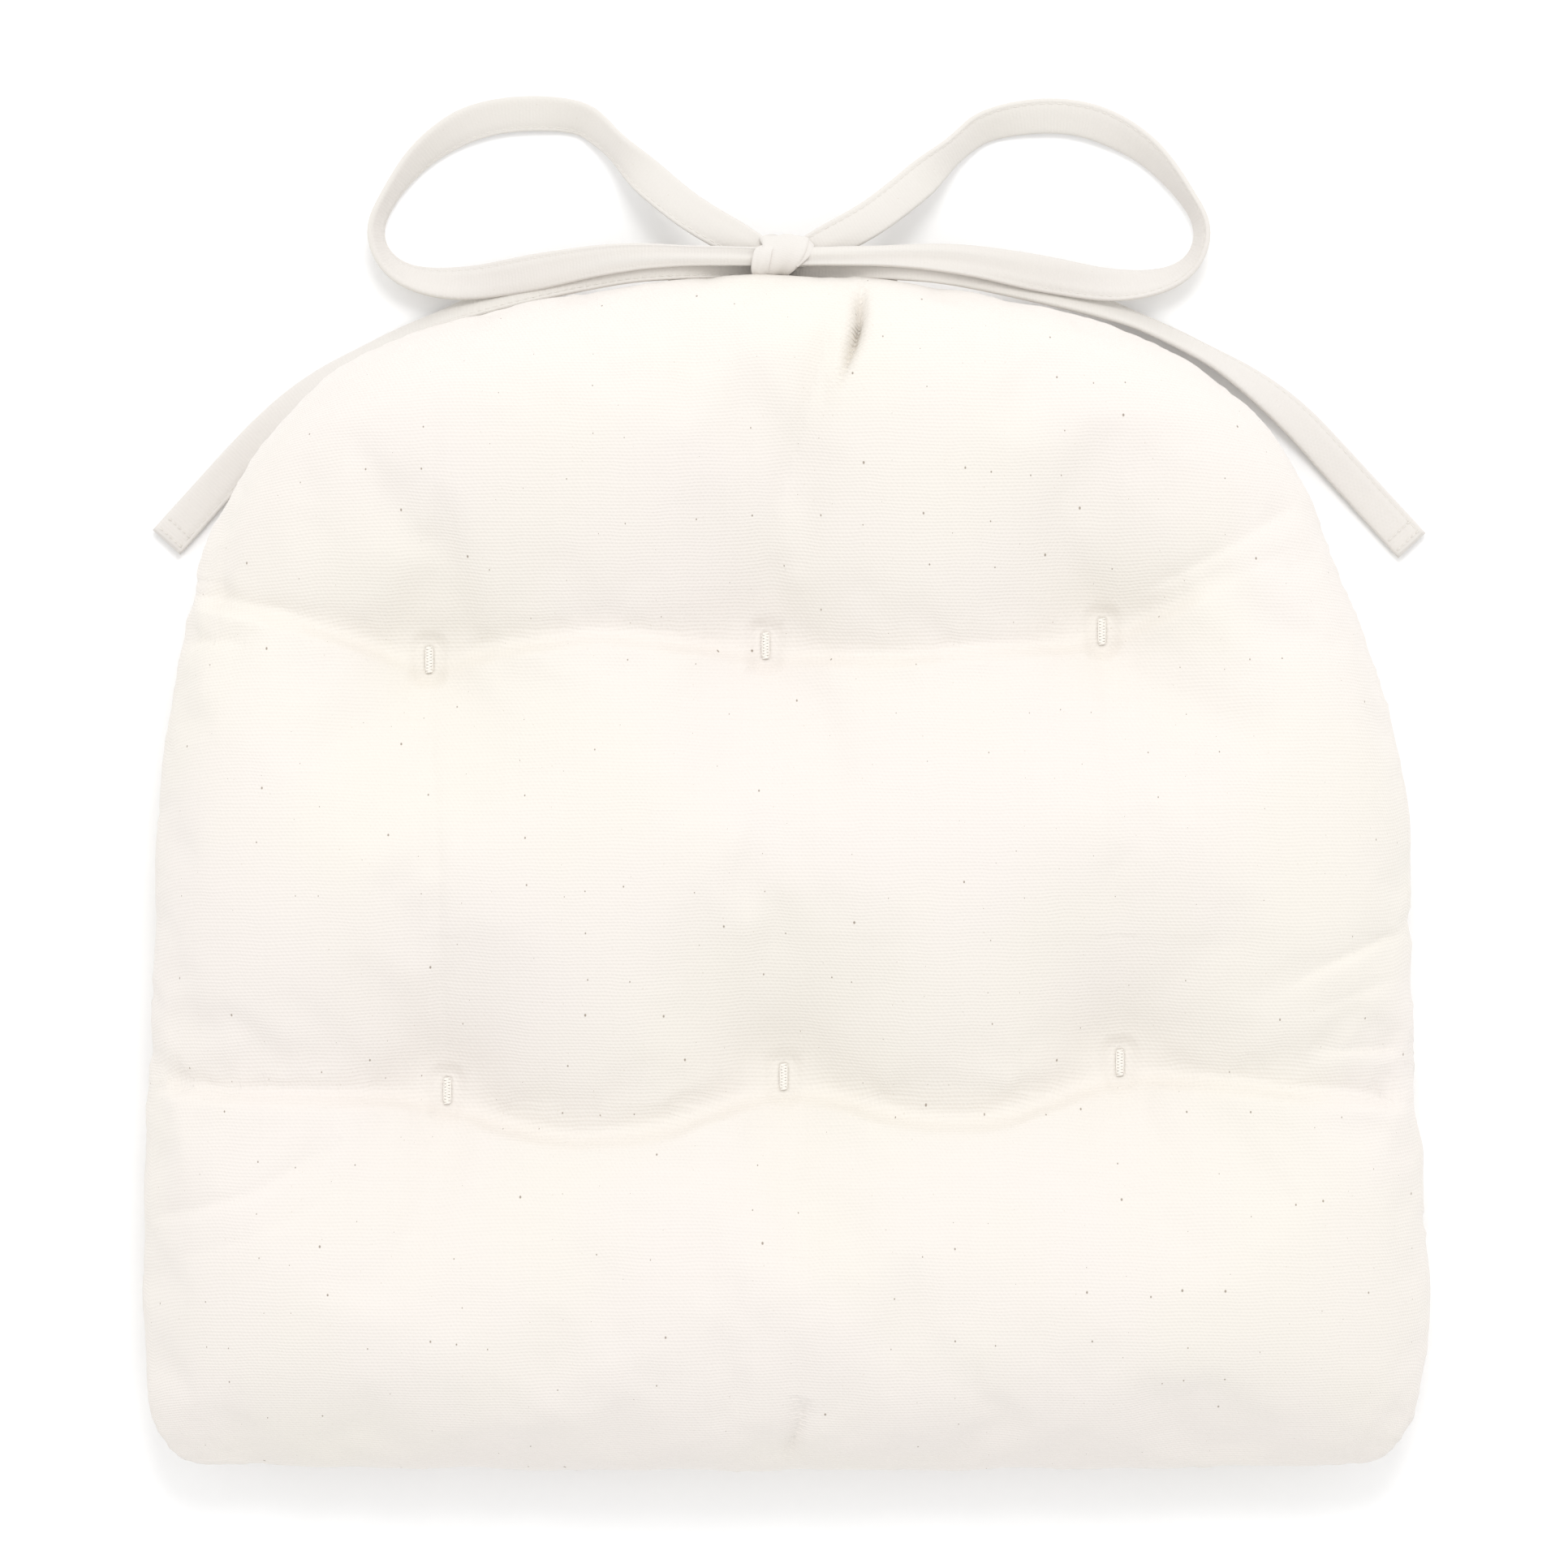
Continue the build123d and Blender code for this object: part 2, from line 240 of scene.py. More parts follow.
def plain_weave():
    """Over-and-under weave of a yarn pitch, with uneven yarns: its height, and a painted shade that is
    darker where the weave lies low.
    """
    inputs = {
        "Place": None, "Picks per metre": 950.0, "Ends per metre": 1500.0, "Unevenness": 0.35,
    }
    tree, start, end = group("plain_weave", inputs, {"Height": "Float", "Weave shading": "Float"})

    def times(a, b):
        return maths(tree, "MULTIPLY", a, b)

    place = start.outputs["Place"]
    sway = times(maths(tree, "SUBTRACT", noise(tree, place, 55.0), 0.5), 0.0022)
    xyz = node(tree, "ShaderNodeSeparateXYZ", [(0, place)])
    across = maths(tree, "ADD", xyz.outputs["X"], sway)
    along = maths(tree, "ADD", xyz.outputs["Y"], sway)
    turns = 2 * math.pi
    ends = times(across, times(start.outputs["Ends per metre"], turns))
    picks = times(along, times(start.outputs["Picks per metre"], turns))
    rib = maths(tree, "MULTIPLY_ADD", maths(tree, "SINE", picks), 0.5, 0.5)
    half_ends = maths(tree, "SINE", times(ends, 0.5))
    half_picks = maths(tree, "SINE", times(picks, 0.5))
    over = maths(tree, "MULTIPLY_ADD", times(half_ends, half_picks), 0.5, 0.5)
    thick_picks = noise(tree, stretch(tree, place, (18.0, 900.0, 1.0)), 1.0)
    thick_ends = noise(tree, stretch(tree, place, (1100.0, 22.0, 1.0)), 1.0)
    yarns = maths(tree, "ADD", thick_picks, thick_ends)
    uneven = times(maths(tree, "SUBTRACT", yarns, 1.0), start.outputs["Unevenness"])
    even = maths(tree, "ADD", times(rib, 0.6), times(over, 0.4))
    tree.links.new(maths(tree, "ADD", even, uneven), end.inputs["Height"])
    # Painted shade: the shading follows the height, darker in the rib's hollows and on the lower,
    # thinner yarns.
    yarn_shading = maths(tree, "MULTIPLY_ADD", uneven, 1.2, 0.25)
    tree.links.new(maths(tree, "ADD", times(rib, 0.55), yarn_shading), end.inputs["Weave shading"])
    return tree


def seed_flecks():
    """Scattered specks of cotton seed husk left in undyed cloth: a mask."""
    inputs = {"Place": None, "Cells per metre": 100.0, "Share": 0.2, "Largest": 0.042}
    tree, start, end = group("seed_flecks", inputs, {"Mask": "Float"})
    place = stretch(tree, start.outputs["Place"], (1.0, 0.72, 1.0))
    cells = node(
        tree,
        "ShaderNodeTexVoronoi",
        [("Vector", place), ("Scale", start.outputs["Cells per metre"])],
        voronoi_dimensions="2D",
    )
    lot = node(tree, "ShaderNodeSeparateColor", [(0, cells.outputs["Color"])])
    chosen = maths(tree, "LESS_THAN", lot.outputs[0], start.outputs["Share"])
    size = maths(tree, "POWER", lot.outputs[1], 2.5)
    girth = maths(tree, "MULTIPLY_ADD", size, 0.75, 0.25)
    reach = maths(tree, "MULTIPLY", girth, start.outputs["Largest"])
    far = maths(tree, "DIVIDE", cells.outputs["Distance"], reach)
    speck = maths(tree, "MULTIPLY", maths(tree, "SUBTRACT", 1.0, far, clamp=True), 2.2, clamp=True)
    tree.links.new(maths(tree, "MULTIPLY", chosen, speck), end.inputs["Mask"])
    return tree


def cloth_tone():
    """Slow drift of undyed cotton between a rosy and a creamy white."""
    inputs = {"Place": None, "Rosy": (0.9, 0.87, 0.84, 1), "Creamy": (0.9, 0.88, 0.8, 1)}
    tree, start, end = group("cloth_tone", inputs, {"Colour": "Color"})
    drift = remap(tree, noise(tree, start.outputs["Place"], 9.0, 3.0), 0.38, 0.66)
    colour = mix_colours(tree, drift, start.outputs["Rosy"], start.outputs["Creamy"])
    tree.links.new(colour, end.inputs["Colour"])
    return tree


WEAVE, FLECKS, TONE = plain_weave(), seed_flecks(), cloth_tone()


def use(tree, shared, **values):
    """Adds a shared node group. Its inputs are given by name."""
    links = [(key.replace("_", " "), value) for key, value in values.items()]
    return node(tree, "ShaderNodeGroup", links, node_tree=shared)


def blank_material(name, roughness, sheen=0.0):
    material = bpy.data.materials.new(name)
    material.use_nodes = True
    tree = material.node_tree
    shader = tree.nodes["Principled BSDF"]
    shader.inputs["Roughness"].default_value = roughness
    shader.inputs["Sheen Weight"].default_value = sheen
    shader.inputs["Sheen Roughness"].default_value = 0.55
    shader.inputs["Specular IOR Level"].default_value = 0.25
    return material, tree, shader


def duck(name, rosy, creamy, relief, fleck_share, hollow_shade_depth):
    """Undyed cotton duck, with painted shade in the weave's hollows. The cloth's own flat-pattern place
    carries the weave.
    """
    material, tree, shader = blank_material(name, 0.9, 0.25)
    place = node(tree, "ShaderNodeAttribute", attribute_name="cloth").outputs["Vector"]
    weave = use(tree, WEAVE, Place=place)
    tone = use(tree, TONE, Place=place, Rosy=rosy, Creamy=creamy)
    big = use(tree, FLECKS, Place=place, Share=fleck_share)
    small = use(tree, FLECKS, Place=place, Cells_per_metre=330.0, Share=0.14, Largest=0.08)
    # Painted shade: the colour goes towards a dark brown where the weave lies low.
    hollow_shade = maths(tree, "SUBTRACT", 1.0, weave.outputs["Weave shading"], clamp=True)
    hollow_shade = maths(tree, "MULTIPLY", hollow_shade, hollow_shade_depth)
    colour = mix_colours(tree, hollow_shade, tone.outputs["Colour"], (0.62, 0.58, 0.52, 1))
    for flecks, strength, husk in ((small, 0.3, (0.5, 0.43, 0.33, 1)), (big, 0.75, (0.2, 0.15, 0.1, 1))):
        mask = maths(tree, "MULTIPLY", flecks.outputs["Mask"], strength)
        colour = mix_colours(tree, mask, colour, husk)
    tree.links.new(colour, shader.inputs["Base Color"])
    add_bump(tree, shader, weave.outputs["Height"], relief, 0.0004)
    return material


def grained(name, colour, surface, grain, edges, hollow_shade_factor, relief):
    """A plain colour with painted shade between its fibres, where their grain lies low, and a bump from
    the same grain.
    """
    material, tree, shader = blank_material(name, *surface)
    fibres = noise(tree, node(tree, "ShaderNodeTexCoord").outputs["Object"], *grain)
    # Painted shade: the colour is darkened between the fibres, where the grain lies low.
    hollow_shade_colour = tuple(hollow_shade_factor * c for c in colour[:3]) + (1,)
    mixed = mix_colours(tree, remap(tree, fibres, *edges), hollow_shade_colour, colour)
    tree.links.new(mixed, shader.inputs["Base Color"])
    add_bump(tree, shader, fibres, *relief)
    return material


def thread_material(name, colour):
    return grained(name, colour, (0.7, 0.2), (2600.0,), (0.4, 0.62), 0.92, (0.25, 0.0002))


def fibre_material(name, colour, scale):
    return grained(name, colour, (0.95, 0.3), (scale, 6.0, 1.5), (0.35, 0.65), 0.8, (0.8, 0.001))


COVER_CLOTH = duck("undyed_duck", (0.8, 0.754, 0.715, 1), (0.797, 0.76, 0.7, 1), 0.4, 0.5, 0.16)
TIE_CLOTH = duck("tie_duck", (0.716, 0.684, 0.65, 1), (0.716, 0.691, 0.64, 1), 0.16, 0.08, 0.08)
THREAD = thread_material("cotton_thread", (0.92, 0.885, 0.83, 1))
TIE_THREAD = thread_material("tie_thread", (0.77, 0.74, 0.69, 1))
BATTING = fibre_material("polyester_batting", (0.9, 0.9, 0.9, 1), 420.0)
FOAM = fibre_material("open_cell_foam", (0.85, 0.8, 0.6, 1), 1300.0)

# ---- camera, light, floor
VIEW_CENTRE = (0.4, 28.1)
VIEW_WIDTH = 480.9
CAMERA_HEIGHT = 2200.0

camera_data = bpy.data.cameras.new("camera")
camera_data.sensor_width = 36.0
camera_data.lens = 36.0 * (CAMERA_HEIGHT - SEAM) / VIEW_WIDTH
camera_data.clip_end = 20.0
camera = new_object("camera", camera_data)
camera.location = (VIEW_CENTRE[0] * MM, VIEW_CENTRE[1] * MM, CAMERA_HEIGHT * MM)
bpy.context.scene.camera = camera
bpy.context.scene.view_settings.view_transform = "Standard"

world = bpy.data.worlds.new("studio")
bpy.context.scene.world = world
world.use_nodes = True
background = world.node_tree.nodes["Background"]
background.inputs["Color"].default_value = (1.0, 1.0, 1.0, 1)
background.inputs["Strength"].default_value = 1.03


back_light = bpy.data.lights.new("back_light", "AREA")
back_light.shape = "DISK"
back_light.size = 1.0
back_light.energy = 18.0
lamp = new_object("back_light", back_light)
lamp.location = (0.15, 1.4, 2.05)
aim = Vector((0, 0.03, 0.03)) - lamp.location
lamp.rotation_euler = aim.to_track_quat("-Z", "Y").to_euler()

floor_material, floor_tree, floor_shader = blank_material("floor_paper", 0.9)
floor_place = node(floor_tree, "ShaderNodeTexCoord").outputs["Object"]
floor_colour = mix_colours(
    floor_tree, noise(floor_tree, floor_place, 300.0), (0.95, 0.95, 0.95, 1), (0.97, 0.97, 0.97, 1)
)
floor_tree.links.new(floor_colour, floor_shader.inputs["Base Color"])
floor = mesh_piece("floor", [(-3, -3, 0), (3, -3, 0), (3, 3, 0), (-3, 3, 0)], [(0, 1, 2, 3)], 1)
floor.data.materials.append(floor_material)

# ---- ties
# Routes outwards from the knot, in millimetres, as the model's tie strips follow them.
LEFT_LOOP = [
    (-4, 190, 25.6), (-23, 199, 27.5), (-41, 214, 14), (-55, 229, 5), (-64, 236, 3),
    (-92, 235.5, 3.5), (-110, 225.5, 4.5), (-121, 212, 6), (-127.5, 198, 7.5), (-120, 185.5, 6.5),
    (-101, 181.8, 8), (-76, 185.6, 18), (-50, 189.7, 28.5), (-25, 189.8, 30.9), (-4, 189.5, 29.0),
]
LEFT_TAIL = [
    (-2, 187.8, 23), (-15, 187.6, 23.6), (-30, 187.4, 28), (-50, 186.5, 25.8), (-76, 181.6, 15.5),
    (-99, 174.5, 8), (-119, 166.5, 6.5), (-138, 156, 5), (-155, 142.5, 3), (-170, 126.5, 2.2),
    (-191, 103, 2),
]
RIGHT_LOOP = [
    (4, 190, 25.6), (22, 197.5, 27.5), (39, 211, 15), (54, 225.5, 5), (64, 233.5, 3),
    (90, 236, 3.5), (110.5, 227, 4.5), (123, 213.5, 6), (131.5, 199, 7.5), (125, 185.5, 6.5),
    (105.5, 181.2, 8), (80, 185, 18), (53, 189.4, 28.5), (26, 189.8, 30.9), (4, 189.5, 29.0),
]
RIGHT_TAIL = [
    (2, 187.8, 23), (15, 187.6, 23.6), (31, 187.4, 28), (52, 186.3, 25.8), (78, 181.3, 15.5),
    (101, 174.8, 8), (121, 166.5, 6.5), (140.5, 156, 5), (158, 142.5, 3), (173, 126, 2.2),
    (195, 102, 2),
]


def route_line(route, step=2.0):
    """Points in millimetres, evenly spaced, on the smooth line of a route."""
    curve = bpy.data.curves.new("route", "CURVE")
    curve.dimensions = "3D"
    curve.resolution_u = 24
    spline = curve.splines.new("NURBS")
    spline.points.add(len(route) - 1)
    for point, place in zip(spline.points, route):
        point.co = (*place, 1)
    spline.order_u = 3
    spline.use_endpoint_u = True
    carrier = bpy.data.objects.new("route", curve)
    mesh = bpy.data.meshes.new_from_object(carrier)
    points = np.array([v.co[:] for v in mesh.vertices])
    bpy.data.objects.remove(carrier)
    bpy.data.meshes.remove(mesh)
    bpy.data.curves.remove(curve)
    run = run_along(points)
    places = np.linspace(0, run[-1], int(round(run[-1] / step)) + 1)
    return at_places(places, run, points), run[-1]


def tape_frames(line, rolls):
    """Side and face directions of a tape at each point of its line."""
    tangents = np.gradient(line, axis=0)
    tangents /= np.linalg.norm(tangents, axis=1)[:, None]
    sides = np.cross(tangents, (0, 0, 1.0))
    sides /= np.linalg.norm(sides, axis=1)[:, None]
    ups = np.cross(sides, tangents)
    c, s = np.cos(rolls)[:, None], np.sin(rolls)[:, None]
    return sides * c + ups * s, ups * c - sides * s


# Half of a tape's section, from one edge to the other: place across and half height
TAPE_SECTION = [
    (-0.5, 0.0), (-0.49, 0.32), (-0.46, 0.46), (-0.41, 0.5), (-0.37, 0.42), (-0.33, 0.5),
    (-0.18, 0.53), (0.0, 0.52), (0.18, 0.53), (0.33, 0.5), (0.42, 0.46), (0.48, 0.33),
]


def tape(name, line, widths, thicknesses, rolls, pleats):
    """A folded and stitched tape along a line, with its lengthwise pleats."""
    across, faces_up = tape_frames(line, rolls)
    section = [(u, v, 1) for u, v in TAPE_SECTION] + [(-u, -0.9 * v, -1) for u, v in TAPE_SECTION]
    points, cloth = [], []
    run = run_along(line)
    for i, centre in enumerate(line):
        for u, v, side in section:
            fold = pleats[i] * (
                0.55 * math.sin(11.0 * u + 0.021 * run[i] + 0.6)
                + 0.35 * math.sin(19.0 * u - 0.034 * run[i])
            )
            lift = v * thicknesses[i] + fold * (1 - (2 * u) ** 4)
            points.append(centre + across[i] * u * widths[i] + faces_up[i] * lift)
            cloth.append((u * TIE_WIDTH * MM + 0.3 * side, run[i] * MM, 0.0))
    piece = mesh_piece(name, points, tube_faces(len(line), len(section)))
    set_attribute(piece, "cloth", cloth)
    return piece, across, faces_up


# Along a short length of thread: place, girth, and how far it stands up off the cloth
THREAD_FORM = [(0, 0.45, 0.0), (0.12, 0.85, 0.3), (0.5, 1.0, 0.6), (0.88, 0.85, 0.3), (1, 0.45, 0.0)]


def capsule_rows(name, ends, radius, sides=6):
    """Short lengths of thread, each from one point to another, as one mesh."""
    points, faces = [], []
    for start, stop, up in ends:
        start, stop, up = Vector(start), Vector(stop), Vector(up).normalized()
        along = (stop - start).normalized()
        side = along.cross(up).normalized()
        base = len(points)
        for t, girth, push in THREAD_FORM:
            centre = start.lerp(stop, t) + up * (push * radius)
            for s in range(sides):
                turn = 2 * math.pi * s / sides
                reach = side * (math.cos(turn) * radius * girth)
                points.append(centre + reach + up * (math.sin(turn) * radius * girth))
        for face in tube_faces(len(THREAD_FORM), sides):
            faces.append(tuple(base + i for i in (face[0], *face[:0:-1])))
    return mesh_piece(name, points, faces)


def thread_piece(name, ends, radius, material, *nodes):
    return finish_piece(capsule_rows(name, ends, radius), material, "thread", *nodes)


def stitch_row(line, across, faces_up, widths, thicknesses, edge, pitch=2.6, length=1.7):
    """Ends of the stitches of one row sewn along a tape near one edge."""
    run = run_along(line)

    def at(place, face):
        i = float(np.interp(place, run, np.arange(len(run))))
        lower = min(int(i), len(line) - 2)
        share = i - lower
        centre = line[lower] * (1 - share) + line[lower + 1] * share
        out = across[lower] * (1 - share) + across[lower + 1] * share
        up = faces_up[lower] * (1 - share) + faces_up[lower + 1] * share
        width, thick = widths[lower], thicknesses[lower]
        return centre + out * edge * width + up * face * 0.4 * thick, up * face

    ends = []
    place = 1.0
    while place + length < run[-1] - 1:
        for face in (1, -1):
            a, up = at(place, face)
            b, _ = at(place + length, face)
            ends.append((a, b, up))
        place += pitch
    return ends


def smooth_profile(count, pairs):
    return smoothed(np.array([table(f, pairs) for f in np.linspace(0, 1, count)]), 4)


# Along each tie, from the knot outwards: (share of the way, value). Millimetres, degrees
LOOP_WIDTHS = [
    (0, 8.0), (0.04, 11.0), (0.17, 11.5), (0.22, 9.0), (0.26, 10.8), (0.4, 11.3), (0.48, 10.2),
    (0.56, 9.6), (0.63, 10.4), (0.75, 11.4), (0.845, 9.0), (0.91, 6.4), (1, 5.6),
]
LOOP_THICKNESSES = [(0, 3.0), (0.05, 1.9), (0.8, 1.9), (0.9, 2.7), (1, 3.4)]
LOOP_ROLLS = [
    (0, 0), (0.16, 5), (0.21, 38), (0.26, 30), (0.31, 15), (0.38, 20), (0.44, 45), (0.5, 68),
    (0.56, 66), (0.61, 42), (0.66, 15), (0.72, 0), (1, 0),
]
LOOP_PLEATS = [(0, 0.5), (0.1, 0.1), (0.5, 0.08), (0.6, 0.4), (0.75, 0.3), (0.85, 0.7), (1, 0.8)]
TAIL_WIDTHS = [(0, 8.5), (0.1, 9.2), (0.35, 10.5), (1, 11.5)]
TAIL_THICKNESSES = [(0, 2.4), (0.12, 2.2), (0.3, 1.9), (1, 1.9)]
TAIL_ROLLS = [(0, 0), (0.25, 5), (0.38, 35), (0.5, 64), (0.62, 60), (0.74, 22), (0.84, 2), (1, 0)]
TAIL_PLEATS = [(0, 0.7), (0.3, 0.3), (0.8, 0.1), (1, 0.05)]
EDGE_ROW = -0.37  # place across the tape of its row of edge stitches
HEM_ROWS = (1.9, 7.0)  # how far the two rows of the hem are from the tail's end


def mirrored(pairs):
    return [(place, -value) for place, value in pairs]


LOOP_FORM = (LOOP_WIDTHS, LOOP_THICKNESSES, LOOP_PLEATS)
TAIL_FORM = (TAIL_WIDTHS, TAIL_THICKNESSES, TAIL_PLEATS)
TIES = {
    "left_tie_loop": (LEFT_LOOP, LOOP_ROLLS, LOOP_FORM),
    "right_tie_loop": (RIGHT_LOOP, mirrored(LOOP_ROLLS), LOOP_FORM),
    "left_tie_tail": (LEFT_TAIL, mirrored(TAIL_ROLLS), TAIL_FORM),
    "right_tie_tail": (RIGHT_TAIL, TAIL_ROLLS, TAIL_FORM),
}


def hem_stitches(line, across, faces_up, widths, thicknesses):
    """Ends of the stitches of the two rows across a tail's end, on both faces."""
    ends = []
    for back in HEM_ROWS:
        i = int(np.argmin(np.abs(np.linalg.norm(line - line[-1], axis=1) - back)))
        steps = np.linspace(-0.42, 0.42, 6)
        for a, b in zip(steps[:-1], steps[1:]):
            for face in (1, -1):
                up = faces_up[i] * face
                level = line[i] + up * 0.5 * thicknesses[i]
                first = level + across[i] * (a + 0.02) * widths[i]
                ends.append((first, level + across[i] * (b - 0.03) * widths[i], up))
    return ends


for tie_name, (route, rolls, form) in TIES.items():
    line, length = route_line(route)
    width_at, thick_at, pleat_at = (smooth_profile(len(line), pairs) for pairs in form)
    roll_at = np.radians(smooth_profile(len(line), rolls))
    piece, across, faces_up = tape(tie_name + "_tape", line, width_at, thick_at, roll_at, pleat_at)
    finish_piece(piece, TIE_CLOTH, "cloth", tie_name)
    rows = stitch_row(line, across, faces_up, width_at, thick_at, EDGE_ROW)
    extra = [thread_piece(tie_name + "_stitches", rows, 0.17, TIE_THREAD)]
    if tie_name.endswith("tail"):
        hem = hem_stitches(line, across, faces_up, width_at, thick_at)
        hem_node = tie_name.replace("_tail", "_hem_stitches")
        extra.append(thread_piece(tie_name + "_hem_stitches", hem, 0.26, TIE_THREAD, hem_node))

# ---- pad cover
def half_outline(side):
    """Plan of one half of the pad's edge, from the back's middle to the front's."""
    lean = math.radians(SIDE_LEAN)
    side_heading = math.radians(90 - SIDE_LEAN)
    shoulder_heading = math.radians(90 - SIDE_LEAN - SIDE_TURN)
    back_heading = math.radians(90 - SIDE_LEAN - SIDE_TURN - SHOULDER_TURN)
    shoulder = SHOULDER_RADIUS[side]
    corner_loss = CORNER_RADIUS * (math.tan(lean) + 1 / math.cos(lean) - 1)
    half_width = HALF_WIDTH + corner_loss
    sin, cos = math.sin, math.cos
    wide = half_width - shoulder * (sin(shoulder_heading) - sin(back_heading))
    wide -= SIDE_RADIUS * (sin(side_heading) - sin(shoulder_heading))
    deep = 2 * HALF_DEPTH - FRONT_BOW - shoulder * (cos(back_heading) - cos(shoulder_heading))
    deep -= SIDE_RADIUS * (cos(shoulder_heading) - cos(side_heading))
    share = sin(back_heading) * sin(side_heading) - cos(side_heading) * (1 - cos(back_heading))
    back_radius = (wide * sin(side_heading) - deep * cos(side_heading)) / share
    straight = (deep * sin(back_heading) - wide * (1 - cos(back_heading))) / share
    points = [(0.0, HALF_DEPTH)]
    heading = 0.0
    arcs = [(back_radius, back_heading), (shoulder, shoulder_heading), (SIDE_RADIUS, side_heading)]
    for radius, until in arcs:
        x, y = points[-1]
        for h in np.linspace(heading, until, 60)[1:]:
            points.append((x + radius * (sin(h) - sin(heading)), y + radius * (cos(h) - cos(heading))))
        heading = until
    x, y = points[-1]
    down = np.array([cos(heading), -sin(heading)])
    corner = np.array([x, y]) + down * straight
    out = np.array([-1.0, -2 * FRONT_BOW / half_width])
    out /= np.linalg.norm(out)
    turn = math.acos(float(np.clip(down @ out, -1, 1)))
    reach = CORNER_RADIUS * math.tan(turn / 2)
    first, last = corner - down * reach, corner + out * reach
    turns_right = down[0] * out[1] - down[1] * out[0] < 0
    inward = np.array([-down[1], down[0]]) * (-1 if turns_right else 1)
    centre = first + inward * CORNER_RADIUS
    a0 = math.atan2(*(first - centre)[::-1])
    a1 = math.atan2(*(last - centre)[::-1])
    for a in np.linspace(a0, a1 if a1 < a0 else a1 - 2 * math.pi, 16):
        points.append((centre[0] + CORNER_RADIUS * cos(a), centre[1] + CORNER_RADIUS * sin(a)))
    for x in np.linspace(last[0], 0, 30)[1:]:
        points.append((x, -HALF_DEPTH + FRONT_BOW * (x / half_width) ** 2))
    sign = 1 if side == "right" else -1
    return [(sign * x, y) for x, y in points]


def resample(points, step):
    """Evenly spaced points on a closed loop."""
    points = np.array(points)
    closed = np.vstack([points, points[:1]])
    run = run_along(closed)
    places = np.linspace(0, run[-1], int(round(run[-1] / step)), endpoint=False)
    return at_places(places, run, closed)


def outward(points):
    """Outward direction at each point of a closed loop round the middle."""
    tangents = np.roll(points, -1, axis=0) - np.roll(points, 1, axis=0)
    normals = np.stack([tangents[:, 1], -tangents[:, 0]], axis=1)
    normals /= np.linalg.norm(normals, axis=1)[:, None]
    centre_side = np.sum(normals * points, axis=1) < 0
    normals[centre_side] *= -1
    return normals


right_half, left_half = half_outline("right"), half_outline("left")
edge = resample(right_half + left_half[-2:0:-1], SEAM_STEP)
edge_out = outward(edge)

# Dents in the seam line, where a fold runs out to it, and bulges, which have a
# minus sign: side, place along the pad, depth, spread
EDGE_NIPS = [
    (-1, 94, -3.2, 26), (-1, 15, -1.2, 30), (-1, -78, -1.5, 45), (-1, 86, 1.2, 5),
    (-1, 72, 0.8, 3), (-1, -52, 1.6, 4), (-1, -63, 1.0, 4), (-1, -176, 3.4, 22),
    (1, 98, 4.2, 30), (1, 10, -2.0, 30), (1, -88, -2.0, 25), (1, -130, -3.0, 20),
    (1, -176, 2.8, 22), (1, -15, 1.6, 4), (1, -70, 1.4, 5), (1, -76, 0.8, 4),
]
EDGE_SWELL = 1.3  # the seam line stands this much outside the plain outline
BACK_BULGE = (1.3, 62)  # and more at the back's middle: height and spread
CORNER_NIP = (191, -178, 1.7, 9)  # front corners drawn in: x, y, depth, spread
for sign, y, depth, spread in EDGE_NIPS:
    near = (np.sign(edge[:, 0]) == sign) * np.clip(np.abs(edge_out[:, 0]) * 1.6 - 0.6, 0, 1)
    edge -= edge_out * (near * depth * np.exp(-(((edge[:, 1] - y) / spread) ** 2)))[:, None]
x, y, depth, spread = CORNER_NIP
corner_gap = np.hypot(np.abs(edge[:, 0]) - x, edge[:, 1] - y)
edge -= edge_out * (depth * np.exp(-((corner_gap / spread) ** 2)))[:, None]
turn_place = np.arange(len(edge)) / len(edge) * 2 * math.pi
edge += edge_out * EDGE_SWELL
height, spread = BACK_BULGE
edge[:, 1] += height * np.exp(-((edge[:, 0] / spread) ** 2)) * (edge[:, 1] > 0)
edge -= edge_out * (0.2 * np.sin(23 * turn_place + 0.7) + 0.2 * np.sin(41 * turn_place))[:, None]

flat_edge = edge + edge_out * EASE


def ellipse_table(roll, rise):
    """A rolled edge's section: share of the way up it, plan inset and rise."""
    angles = np.linspace(0, math.pi / 2, 400)
    inset, up = roll * (1 - np.cos(angles)), rise * np.sin(angles)
    run = np.concatenate([[0], np.cumsum(np.hypot(np.diff(inset), np.diff(up)))])
    return run / run[-1], inset, up


def lattice_points():
    """Flat-pattern points: the seam line, a close row inside it, then a square grid."""
    inner = resample(edge + edge_out * (EASE - 2.2), SEAM_STEP)
    x = np.arange(-230, 230.1, LATTICE)
    grid = np.array([(a, b) for a in x for b in x])
    gap, _ = edge_distance(grid)
    inside = point_inside(grid, flat_edge)
    return np.vstack([flat_edge, inner, grid[inside & (gap > 4.2)]])


def edge_distance(points):
    """How far inside the flat seam line each point is, and which seam point is nearest."""
    best, which = nearest_to(points, flat_edge)
    # signed distance along the local outward direction is smoother than the raw gap
    along = np.sum((flat_edge[which] - points) * edge_out[which], axis=1)
    return np.where(best < 12, np.maximum(along, 0), best), which


def point_inside(points, loop):
    inside = np.zeros(len(points), bool)
    x, y = points[:, 0], points[:, 1]
    for (x0, y0), (x1, y1) in zip(loop, np.roll(loop, -1, axis=0)):
        crosses = (y0 > y) != (y1 > y)
        with np.errstate(divide="ignore", invalid="ignore"):
            cut = (x1 - x0) * (y - y0) / (y1 - y0) + x0
        inside ^= crosses & (x < cut)
    return inside


